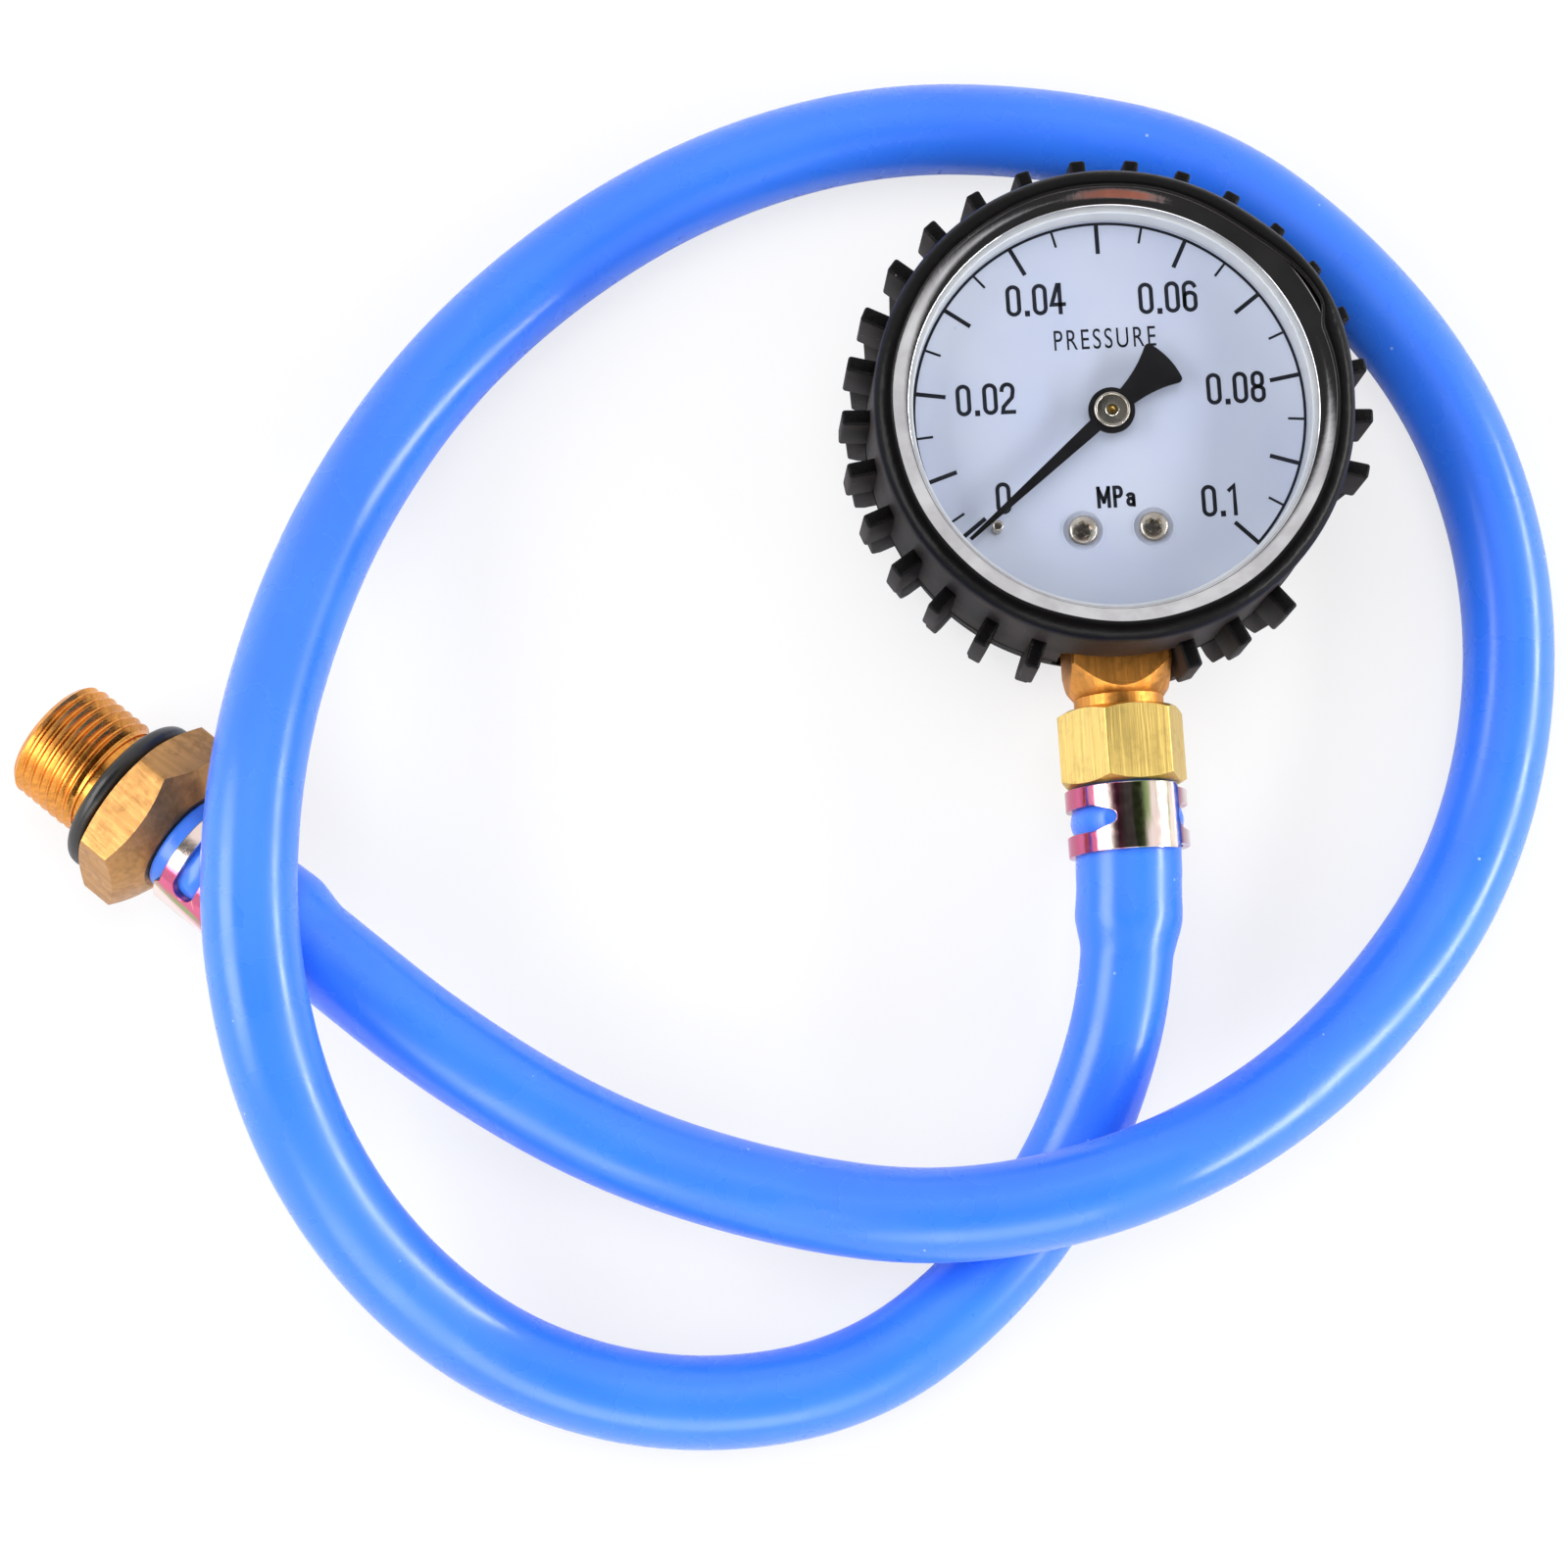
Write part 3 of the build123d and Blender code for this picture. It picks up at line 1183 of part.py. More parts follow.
for clamp_name, clamp_frame in clamp_frames.items():
    with BuildPart() as clamp:
        # Fork, at full width, with a long window
        with BuildSketch(section_plane(clamp_frame, clamp_tongue_start)):
            with Locations(clamp_middle):
                Rectangle(clamp_metal, clamp_width)
        revolve(axis=axis_of(clamp_frame), revolution_arc=clamp_ear_angle - clamp_tongue_start)
        extrude(window_end(clamp_frame, clamp_fork_start, 1), amount=clamp_outer, mode=Mode.SUBTRACT)
        with BuildSketch(section_plane(clamp_frame, clamp_fork_start + window_taper)):
            with Locations(clamp_middle):
                Rectangle(3 * clamp_metal, clamp_window)
        revolve(
            axis=axis_of(clamp_frame),
            revolution_arc=clamp_ear_angle - clamp_fork_start - window_taper,
            mode=Mode.SUBTRACT,
        )
        # Narrower half with a short window
        with BuildSketch(section_plane(clamp_frame, half_end)):
            with Locations(clamp_middle):
                Rectangle(clamp_metal, clamp_width - 2 * clamp_waist)
        revolve(axis=axis_of(clamp_frame), revolution_arc=clamp_tongue_start - half_end)
        extrude(window_end(clamp_frame, clamp_tongue_start, -1), amount=clamp_outer, mode=Mode.SUBTRACT)
        extrude(window_end(clamp_frame, clamp_tongue_close, 1), amount=clamp_outer, mode=Mode.SUBTRACT)
        with BuildSketch(section_plane(clamp_frame, clamp_tongue_close + window_taper)):
            with Locations(clamp_middle):
                Rectangle(3 * clamp_metal, clamp_window)
        revolve(
            axis=axis_of(clamp_frame),
            revolution_arc=clamp_tongue_start - clamp_tongue_close - 2 * window_taper,
            mode=Mode.SUBTRACT,
        )
        # Tongue, through the fork's window
        with BuildSketch(section_plane(clamp_frame, -clamp_ear_angle)):
            with Locations(clamp_middle):
                Rectangle(clamp_metal, clamp_tongue)
        revolve(axis=axis_of(clamp_frame), revolution_arc=clamp_ear_angle + half_end)
        # Ears: the fork's has a notch that the tongue passes under
        ear_middle = clamp_bore + (clamp_metal + clamp_ear) / 2
        with BuildSketch(section_plane(clamp_frame, clamp_ear_angle)):
            with Locations((ear_middle, clamp_width / 2)):
                Rectangle(clamp_metal + clamp_ear, clamp_width)
            with Locations(clamp_middle):
                Rectangle(3 * clamp_metal, clamp_window, mode=Mode.SUBTRACT)
        extrude(amount=-clamp_metal)
        with BuildSketch(section_plane(clamp_frame, -clamp_ear_angle)):
            with Locations((ear_middle, clamp_width / 2)):
                Rectangle(clamp_metal + clamp_ear, clamp_tongue)
        extrude(amount=clamp_metal)
    clamp.part.label = clamp_name
    export_step(clamp.part, f"parts/{clamp_name}.step")
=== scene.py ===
"""Looks of an exhaust back pressure tester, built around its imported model: the gauge in its rubber boot,
the silicone hose with two band clamps, and the threaded adapter. Shapes are modelled in millimetres."""

import math
import random

import bmesh
import bpy
from bpy.props import FloatProperty, FloatVectorProperty, IntProperty, PointerProperty
from mathutils import Euler, Matrix, Vector


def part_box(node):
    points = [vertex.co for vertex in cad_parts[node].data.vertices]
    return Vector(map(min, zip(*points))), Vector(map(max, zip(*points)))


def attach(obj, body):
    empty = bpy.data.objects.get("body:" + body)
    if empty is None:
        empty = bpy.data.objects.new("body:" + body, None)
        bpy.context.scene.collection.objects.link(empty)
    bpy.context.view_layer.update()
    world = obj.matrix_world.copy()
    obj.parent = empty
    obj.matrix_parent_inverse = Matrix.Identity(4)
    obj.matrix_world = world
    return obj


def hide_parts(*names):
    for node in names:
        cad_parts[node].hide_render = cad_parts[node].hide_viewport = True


bl_info = {
    "name": "Exhaust back pressure tester",
    "version": (1, 0, 0),
    "blender": (4, 5, 0),
    "location": "3D View > Sidebar > Tester",
    "description": "Builds a low pressure gauge in a rubber boot with its hose, clamps and threaded adapter",
    "category": "Add Mesh",
}

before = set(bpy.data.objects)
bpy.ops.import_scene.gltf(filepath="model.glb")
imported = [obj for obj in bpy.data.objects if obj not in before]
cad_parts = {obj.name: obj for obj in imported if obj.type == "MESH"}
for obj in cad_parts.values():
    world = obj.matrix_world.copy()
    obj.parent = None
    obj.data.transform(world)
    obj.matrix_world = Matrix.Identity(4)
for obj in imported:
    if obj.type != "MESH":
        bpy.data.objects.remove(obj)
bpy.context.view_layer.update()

MM = 0.001


def level(node, top=True):
    """Height in millimetres of a CAD node's top or bottom."""
    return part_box(node)[1 if top else 0][2] / MM


def paint(red, green, blue):
    """A colour given as 0 to 255 on screen, as the scene's linear values."""
    shades = [value / 255 for value in (red, green, blue)]
    return [s / 12.92 if s <= 0.04045 else ((s + 0.055) / 1.055) ** 2.4 for s in shades] + [1.0]


# Heights that the pieces of the gauge share, and the rounding of the bezel's edge, which the lip follows
DIAL_LOW, DIAL_TOP = 25.65, 26.1
WINDOW_LOW = level("window", top=False)
WINDOW_TOP = level("window")
BEZEL_CREST = level("bezel")
BEZEL_LOW = level("bezel", top=False)
BEZEL_ROUND, BEZEL_CORNER = 31.2, 0.8
BOOT_TOP = level("boot")
STEM_Z = 13.0


def size(name, default, description):
    """A length that the user may change, in metres, from its size in millimetres."""
    return FloatProperty(name=name, default=default * MM, description=description, unit="LENGTH", precision=5)


def colour(name, default, description):
    """A colour that the user may change."""
    return FloatVectorProperty(
        name=name, default=paint(*default), description=description, subtype="COLOR", size=4, min=0, max=1
    )


class TesterSizes(bpy.types.PropertyGroup):
    """Sizes of the tester's pieces."""

    hose_radius: size("Hose radius", 6.5, "Outer radius of the silicone hose")
    hose_swell: size("Swollen radius", 7.4, "Radius of the hose where it is pushed over a barbed tube")
    hose_length: size("Hose length", 770, "Length of the hose between its two fittings")
    boot_radius: size("Boot radius", 33.2, "Outer radius of the boot's wall")
    boot_foot: size("Boot foot radius", 31.6, "Radius of the boot's back")
    lip_bore: size("Lip bore", 30.5, "Radius of the opening that the boot's lip leaves")
    lip_lift: size("Lip lift", 1.5, "How far the lip is pulled off the bezel at its loose place")
    lug_width: size("Lug width", 2.3, "Width of a grip lug")
    lug_tip: size("Lug tip radius", 37.1, "Radius over the front halves of the lugs")
    lug_back_tip: size("Lug back radius", 36.1, "Radius over the back halves of the lugs")
    lug_edge: size("Lug edge", 0.42, "Rounding of the lugs' edges")
    bezel_bore: size("Bezel bore", 28.2, "Radius of the bezel's opening")
    scale_radius: size("Scale radius", 27.2, "Radius of the dial's scale line")
    nut_flats: size("Nut flats", 16, "Width of the hose fitting over its flats")
    end_flats: size("Adapter flats", 24, "Width of the adapter over its flats")
    thread_radius: size("Thread radius", 9, "Outer radius of the adapter's thread")
    thread_pitch: size("Thread pitch", 1.5, "Distance between two turns of the thread")
    clamp_width: size("Clamp width", 9.3, "Width of a band clamp")
    clamp_metal: size("Clamp metal", 0.7, "Thickness of a band clamp")
    lug_count: IntProperty(
        name="Lug places", default=30, description="Places for lugs round the boot", min=6, subtype="UNSIGNED"
    )


class TesterColours(bpy.types.PropertyGroup):
    """Colours of the tester's materials."""

    hose: colour("Hose", (52, 124, 242), "Silicone of the hose")
    hose_deep: colour("Hose in the depth", (44, 114, 240), "Darker clouds in the silicone")
    rubber: colour("Rubber", (7, 6, 7), "Rubber of the boot")
    # Lighter colour of the boot's walls: dust, and a painted sheen that stands for light grazing the walls
    rubber_dust_and_sheen: colour("Rubber, smooth", (46, 39, 37), "Smooth and dusty rubber")
    chrome: colour("Chrome", (214, 213, 216), "Plating of the bezel")
    white: colour("White ring", (214, 214, 212), "Ring under the window")
    dial: colour("Dial", (187, 191, 203), "Paint of the dial")
    ink: colour("Ink", (18, 19, 25), "Print on the dial")
    pointer: colour("Pointer", (16, 15, 16), "Paint of the pointer")
    nickel: colour("Nickel", (214, 205, 190), "Plating of the pointer's cap and of the screws")
    nut: colour("Nut brass", (240, 208, 122), "Brass of the hose fitting")
    block: colour("Stem brass", (236, 162, 76), "Brass of the stem")
    adapter: colour("Adapter brass", (196, 146, 88), "Brass of the adapter's hexagon")
    thread: colour("Thread brass", (234, 158, 72), "Brass of the adapter's thread")
    stain: colour("Stain", (96, 66, 38), "Tarnish on brass")
    clamp: colour("Zinc", (240, 220, 212), "Yellow zinc of the clamps")
    clamp_pink: colour("Zinc, pink", (208, 104, 138), "Pink bands of the zinc")
    clamp_green: colour("Zinc, green", (150, 164, 112), "Green bands of the zinc")
    oring: colour("O-ring", (22, 22, 23), "Rubber of the O-ring")
    steel: colour("Steel", (196, 196, 198), "Steel of the case")


# Node helpers


def add(tree, kind, inputs=(), **settings):
    """A node in a tree; an input takes a value, or the socket of another node."""
    item = tree.nodes.new(kind)
    for name, value in settings.items():
        setattr(item, name, value)
    for key, value in dict(inputs).items():
        if isinstance(value, bpy.types.NodeSocket):
            tree.links.new(value, item.inputs[key])
        else:
            item.inputs[key].default_value = value
    return item


def maths(tree, operation, first, second=0.0, third=0.0):
    """The result of a Math node."""
    return add(tree, "ShaderNodeMath", {0: first, 1: second, 2: third}, operation=operation).outputs[0]


def product(tree, first, second):
    """The product of two values."""
    return maths(tree, "MULTIPLY", first, second)


def blended(tree, factor, first, second):
    """The colour between two colours."""
    mix = add(tree, "ShaderNodeMix", {"Factor": factor}, data_type="RGBA")
    for index, value in ((6, first), (7, second)):
        if isinstance(value, bpy.types.NodeSocket):
            tree.links.new(value, mix.inputs[index])
        else:
            mix.inputs[index].default_value = value
    return mix.outputs[2]


def spread(tree, value, low, high, to_low=0.0, to_high=1.0):
    """A value eased from one range to another, held at its ends."""
    ranges = {"Value": value, "From Min": low, "From Max": high, "To Min": to_low, "To Max": to_high}
    return add(tree, "ShaderNodeMapRange", ranges, interpolation_type="SMOOTHSTEP").outputs[0]


def begin_group(name, inputs, outputs):
    """An empty node group with a Vector, float inputs and outputs: its tree, its sockets and its result."""
    tree = bpy.data.node_groups.new(name, "ShaderNodeTree")
    tree.interface.new_socket("Vector", in_out="INPUT", socket_type="NodeSocketVector")
    for label, value in inputs.items():
        tree.interface.new_socket(label, in_out="INPUT", socket_type="NodeSocketFloat").default_value = value
    for label in outputs:
        tree.interface.new_socket(label, in_out="OUTPUT", socket_type="NodeSocketFloat")
    return tree, tree.nodes.new("NodeGroupInput").outputs, tree.nodes.new("NodeGroupOutput")


def clouds_group():
    """Soft patches: 0 to 1."""
    tree, source, result = begin_group("Clouds", {"Scale": 100.0, "Contrast": 0.2}, ["Value"])
    noise = add(
        tree, "ShaderNodeTexNoise", {"Vector": source["Vector"], "Scale": source["Scale"], "Detail": 3.0}
    )
    low = maths(tree, "SUBTRACT", 0.5, source["Contrast"])
    high = maths(tree, "ADD", 0.5, source["Contrast"])
    tree.links.new(spread(tree, noise.outputs[0], low, high), result.inputs[0])
    return tree


def specks_group():
    """Small round specks in some of a grid's cells: 0 or 1."""
    tree, source, result = begin_group("Specks", {"Scale": 300.0, "Size": 0.1, "Share": 0.3}, ["Mask"])
    cells = add(tree, "ShaderNodeTexVoronoi", {"Vector": source["Vector"], "Scale": source["Scale"]})
    near = maths(tree, "LESS_THAN", cells.outputs["Distance"], source["Size"])
    pick = add(tree, "ShaderNodeSeparateColor", {"Color": cells.outputs["Color"]})
    chosen = maths(tree, "LESS_THAN", pick.outputs[0], source["Share"])
    tree.links.new(product(tree, near, chosen), result.inputs[0])
    return tree


def drawn_group():
    """Fine lines along Y, as on drawn or milled metal: 0 to 1."""
    tree, source, result = begin_group("Drawn lines", {"Scale": 2500.0, "Stretch": 0.02}, ["Value"])
    scale = add(tree, "ShaderNodeCombineXYZ", {"X": 1.0, "Y": source["Stretch"], "Z": 1.0})
    both = {0: source["Vector"], 1: scale.outputs[0]}
    along = add(tree, "ShaderNodeVectorMath", both, operation="MULTIPLY")
    noise = add(
        tree, "ShaderNodeTexNoise", {"Vector": along.outputs[0], "Scale": source["Scale"], "Detail": 4.0}
    )
    tree.links.new(spread(tree, noise.outputs[0], 0.3, 0.7), result.inputs[0])
    return tree


def scratches_group():
    """Hair lines where a stretched noise passes a level: 0 to 1."""
    tree, source, result = begin_group("Scratches", {"Scale": 120.0, "Width": 0.004}, ["Mask"])
    noise = add(
        tree,
        "ShaderNodeTexNoise",
        {"Vector": source["Vector"], "Scale": source["Scale"], "Detail": 1.0, "Distortion": 0.6},
    )
    off = maths(tree, "ABSOLUTE", maths(tree, "SUBTRACT", noise.outputs[0], 0.5))
    line = maths(tree, "LESS_THAN", off, source["Width"])
    coarse = product(tree, source["Scale"], 0.6)
    patch = add(tree, "ShaderNodeTexNoise", {"Vector": source["Vector"], "Scale": coarse})
    here = maths(tree, "GREATER_THAN", patch.outputs[0], 0.6)
    tree.links.new(product(tree, line, here), result.inputs[0])
    return tree


GROUP_MAKERS = {
    "Clouds": clouds_group,
    "Specks": specks_group,
    "Drawn lines": drawn_group,
    "Scratches": scratches_group,
}


class Finish:
    """A material under construction: a Principled shader and the patterns that feed it."""

    def __init__(self, name, turn=(0, 0, 0), **sockets):
        self.material = bpy.data.materials.new(name)
        self.material.use_nodes = True
        self.tree = self.material.node_tree
        self.tree.nodes.clear()
        self.shader = self.tree.nodes.new("ShaderNodeBsdfPrincipled")
        self.output = add(self.tree, "ShaderNodeOutputMaterial", {"Surface": self.shader.outputs[0]})
        place = add(self.tree, "ShaderNodeTexCoord").outputs["Object"]
        self.place = add(self.tree, "ShaderNodeMapping", {"Vector": place, "Rotation": turn}).outputs[0]
        for socket, value in sockets.items():
            self.shader.inputs[socket.replace("_", " ")].default_value = value

    def pattern(self, group, **inputs):
        """The output of a shared pattern."""
        if group not in bpy.data.node_groups:
            GROUP_MAKERS[group]()
        item = self.tree.nodes.new("ShaderNodeGroup")
        item.node_tree = bpy.data.node_groups[group]
        self.tree.links.new(self.place, item.inputs["Vector"])
        for socket, value in inputs.items():
            item.inputs[socket].default_value = value
        return item.outputs[0]

    def feed(self, socket, value):
        """Links a pattern to the shader."""
        self.tree.links.new(value, self.shader.inputs[socket])

    def flatness(self):
        """How far the surface faces up or down: 0 on a wall, 1 on a flat."""
        normal = add(self.tree, "ShaderNodeNewGeometry").outputs["Normal"]
        facing = add(self.tree, "ShaderNodeSeparateXYZ", {"Vector": normal})
        return maths(self.tree, "ABSOLUTE", facing.outputs[2])

    def rough(self, value, low, high):
        """Roughness between two values, by a pattern."""
        self.feed("Roughness", spread(self.tree, value, 0.0, 1.0, low, high))

    def raise_by(self, *layers):
        """Bumps, each a pattern and its height in millimetres."""
        normal = None
        for value, height in layers:
            inputs = {"Height": value, "Distance": height * MM, "Strength": 1.0}
            bump = add(self.tree, "ShaderNodeBump", inputs)
            if normal:
                self.tree.links.new(normal, bump.inputs["Normal"])
            normal = bump.outputs[0]
        self.feed("Normal", normal)


# Distances from the gauge's axis between which the boot's grain comes in
LUG_GRAIN_FROM, LUG_GRAIN_FULL = 33.0, 34.2


def rubber_finish(colours):
    """Boot: grained on the lugs, smoother on the lip, dull on the sides, which are lightened by dust and by a
    painted sheen.
    """
    finish = Finish("Boot rubber", **{"Specular IOR Level": 0.13})
    tree = finish.tree
    dust = finish.pattern("Clouds", Scale=90.0, Contrast=0.16)
    lint = finish.pattern("Specks", Scale=420.0, Size=0.07, Share=0.22)
    sideways = spread(tree, finish.flatness(), 0.08, 0.5, 1.0, 0.0)
    spot = add(tree, "ShaderNodeSeparateXYZ", {"Vector": finish.place}).outputs
    squares = [product(tree, spot[axis], spot[axis]) for axis in (0, 1)]
    far = maths(tree, "SQRT", maths(tree, "ADD", *squares))
    on_lugs = spread(tree, far, LUG_GRAIN_FROM * MM, LUG_GRAIN_FULL * MM, 0.14, 1.0)
    # Wall faces get a lighter brownish colour in clouds: dust, and a painted sheen where light grazes them
    wall_dust_and_sheen = product(tree, sideways, spread(tree, dust, 0, 1, 0.35, 1))
    worn = blended(tree, wall_dust_and_sheen, colours.rubber, colours.rubber_dust_and_sheen)
    finish.feed("Base Color", blended(tree, product(tree, lint, 0.35), worn, paint(150, 146, 142)))
    finish.feed("Roughness", spread(tree, sideways, 0, 1, 0.3, 0.56))
    grain = finish.pattern("Clouds", Scale=4600.0, Contrast=0.25)
    waves = finish.pattern("Clouds", Scale=260.0, Contrast=0.4)
    ends = product(tree, on_lugs, spread(tree, sideways, 0, 1, 1, 0.12))
    finish.raise_by(
        (product(tree, grain, ends), 0.035),
        (product(tree, waves, spread(tree, sideways, 0, 1, 1, 0.05)), 0.12),
        (lint, 0.03),
    )
    return finish.material


def chrome_finish(colours):
    """Bezel: plated steel, slightly hammered by the turning."""
    finish = Finish("Bezel chrome", Metallic=1.0)
    haze = finish.pattern("Clouds", Scale=150.0, Contrast=0.2)
    finish.feed("Base Color", blended(finish.tree, haze, colours.chrome, paint(186, 184, 187)))
    finish.rough(haze, 0.05, 0.11)
    finish.raise_by(
        (finish.pattern("Clouds", Scale=1500.0, Contrast=0.45), 0.003),
        (finish.pattern("Clouds", Scale=380.0, Contrast=0.45), 0.008),
    )
    return finish.material


def plain_finish(name, tone, shade, low, high, grain=900.0, height=0.01, **sockets):
    """A moulded or painted surface with soft patches and a fine grain."""
    finish = Finish(name, **sockets)
    patch = finish.pattern("Clouds", Scale=70.0, Contrast=0.2)
    finish.feed("Base Color", blended(finish.tree, patch, tone, shade))
    finish.rough(patch, low, high)
    finish.raise_by((finish.pattern("Clouds", Scale=grain, Contrast=0.4), height))
    return finish.material


def dial_finish(colours):
    """Dial: pale paint with faint clouds, hair scratches and a few dust specks."""
    finish = Finish("Dial paint", Roughness=0.38)
    tree = finish.tree
    clouds = finish.pattern("Clouds", Scale=38.0, Contrast=0.25)
    tone = blended(tree, clouds, colours.dial, paint(178, 183, 200))
    marks = finish.pattern("Scratches", Scale=70.0, Width=0.0012)
    dust = finish.pattern("Specks", Scale=240.0, Size=0.05, Share=0.12)
    tone = blended(tree, product(tree, marks, 0.16), tone, paint(140, 146, 165))
    finish.feed("Base Color", blended(tree, product(tree, dust, 0.4), tone, paint(150, 156, 172)))
    finish.raise_by((finish.pattern("Clouds", Scale=2600.0, Contrast=0.4), 0.003))
    return finish.material


def pointer_finish(colours):
    """Pointer: black paint, lighter in patches at its stamped edges as a painted highlight."""
    finish = Finish("Pointer paint", **{"Specular IOR Level": 0.16})
    tree = finish.tree
    # The pointer's side faces are lightened towards grey in patches: a painted edge highlight
    edge = spread(tree, finish.flatness(), 0.4, 0.95, 1.0, 0.0)
    worn = product(tree, edge, finish.pattern("Clouds", Scale=500.0, Contrast=0.15))
    painted_edge_highlight = product(tree, worn, 0.5)
    finish.feed("Base Color", blended(tree, painted_edge_highlight, colours.pointer, paint(120, 116, 110)))
    finish.rough(finish.pattern("Clouds", Scale=200.0, Contrast=0.2), 0.34, 0.5)
    finish.raise_by((finish.pattern("Clouds", Scale=1800.0, Contrast=0.4), 0.006))
    return finish.material


def metal_finish(name, tone, shade, low, high, lines=0.004, dents=0.001):
    """Turned or plated metal with faint tool marks and dents."""
    finish = Finish(name, Metallic=1.0)
    patch = finish.pattern("Clouds", Scale=300.0, Contrast=0.25)
    finish.feed("Base Color", blended(finish.tree, patch, tone, shade))
    finish.rough(patch, low, high)
    finish.raise_by(
        (finish.pattern("Drawn lines", Scale=1800.0, Stretch=0.1), lines),
        (finish.pattern("Clouds", Scale=1300.0, Contrast=0.3), dents),
    )
    return finish.material


def brass_finish(name, tone, stain, turn=(0, 0, 0), drawn=0.02, stains=0.5, low=0.2, high=0.36, scale=1600.0):
    """Brass with lines along the bar, tarnish in patches and dark specks; turn brings the bar's axis to Y."""
    finish = Finish(name, turn=turn, Metallic=1.0)
    tree = finish.tree
    lines = finish.pattern("Drawn lines", Scale=scale, Stretch=0.03)
    patch = finish.pattern("Clouds", Scale=210.0, Contrast=0.1)
    fine = finish.pattern("Clouds", Scale=900.0, Contrast=0.14)
    shade = [value * 0.66 for value in tone[:3]] + [1.0]
    body = blended(tree, product(tree, lines, 0.4), tone, shade)
    tarnish = product(tree, product(tree, patch, fine), stains)
    body = blended(tree, tarnish, body, stain)
    specks = finish.pattern("Specks", Scale=520.0, Size=0.12, Share=0.1)
    dark = product(tree, specks, 0.7 * stains)
    finish.feed("Base Color", blended(tree, dark, body, paint(60, 44, 32)))
    worn = maths(tree, "MAXIMUM", product(tree, lines, 0.6), tarnish)
    finish.rough(worn, low, high)
    finish.raise_by((lines, drawn), (finish.pattern("Clouds", Scale=330.0, Contrast=0.4), 0.03))
    return finish.material


def clamp_finish(colours, name, turn):
    """Yellow zinc: bands of pink, green and gold along the clamp's axis, which turn brings to Y."""
    finish = Finish(name, turn=turn, Metallic=1.0)
    tree = finish.tree
    bands = finish.pattern("Drawn lines", Scale=190.0, Stretch=0.04)
    second = finish.pattern("Drawn lines", Scale=330.0, Stretch=0.1)
    tone = blended(tree, spread(tree, bands, 0.3, 0.8), colours.clamp, colours.clamp_pink)
    tone = blended(tree, spread(tree, second, 0.62, 0.92), tone, colours.clamp_green)
    marks = finish.pattern("Scratches", Scale=160.0, Width=0.006)
    finish.feed("Base Color", blended(tree, product(tree, marks, 0.5), tone, paint(236, 226, 200)))
    finish.rough(finish.pattern("Clouds", Scale=800.0, Contrast=0.3), 0.09, 0.18)
    finish.raise_by(
        (finish.pattern("Clouds", Scale=1700.0, Contrast=0.4), 0.004),
        (finish.pattern("Clouds", Scale=230.0, Contrast=0.4), 0.012),
    )
    return finish.material


def silicone_finish(colours):
    """Hose: smooth silicone that light sinks into, with lint, and darker specks painted as the shade in tiny
    pits.
    """
    finish = Finish(
        "Hose silicone",
        **{
            "Subsurface Weight": 0.22,
            "Subsurface Radius": (0.15, 0.4, 1.0),
            "Subsurface Scale": 4.0 * MM,
            "Specular IOR Level": 0.62,
            "Sheen Weight": 0.14,
            "Sheen Roughness": 0.45,
            "Sheen Tint": (0.72, 0.66, 1.0, 1.0),
        },
    )
    tree = finish.tree
    clouds = finish.pattern("Clouds", Scale=26.0, Contrast=0.25)
    tone = blended(tree, clouds, colours.hose, colours.hose_deep)
    lint = finish.pattern("Specks", Scale=210.0, Size=0.045, Share=0.3)
    painted_pit_shade = finish.pattern("Specks", Scale=290.0, Size=0.04, Share=0.12)
    tone = blended(tree, product(tree, lint, 0.55), tone, paint(196, 220, 255))
    # Deeper blue specks painted as the shade inside tiny pits, which are not modelled
    finish.feed("Base Color", blended(tree, product(tree, painted_pit_shade, 0.5), tone, paint(26, 44, 150)))
    finish.rough(finish.pattern("Clouds", Scale=120.0, Contrast=0.3), 0.24, 0.33)
    finish.raise_by((lint, 0.05), (finish.pattern("Clouds", Scale=85.0, Contrast=0.45), 0.04))
    return finish.material


def glass_finish():
    """Window: clear flat glass; light passes through it to the dial."""
    finish = Finish("Window glass", Roughness=0.0, IOR=1.45, **{"Transmission Weight": 1.0})
    tree = finish.tree
    clear = add(tree, "ShaderNodeBsdfTransparent", {"Color": (0.97, 0.98, 1.0, 1.0)})
    ray = add(tree, "ShaderNodeLightPath")
    seen = maths(tree, "MAXIMUM", ray.outputs["Is Camera Ray"], ray.outputs["Is Transmission Ray"])
    mix = add(tree, "ShaderNodeMixShader", {0: seen, 1: clear.outputs[0], 2: finish.shader.outputs[0]})
    tree.links.new(mix.outputs[0], finish.output.inputs["Surface"])
    smudge = finish.pattern("Clouds", Scale=60.0, Contrast=0.2)
    finish.feed("Base Color", blended(tree, smudge, paint(250, 252, 255), paint(244, 248, 255)))
    return finish.material


# Mesh helpers; shapes are made in millimetres


def bow(centre, across, tall, start, end, steps=12):
    """Points of an oval arc, from one angle to another in degrees."""
    turns = [math.radians(start + (end - start) * k / steps) for k in range(steps + 1)]
    return [(centre[0] + across * math.cos(turn), centre[1] + tall * math.sin(turn)) for turn in turns]


def arc(centre, radius, start, end, steps):
    """Points of a round arc in a section, from one angle to another in degrees."""
    return bow(centre, radius, radius, start, end, steps)


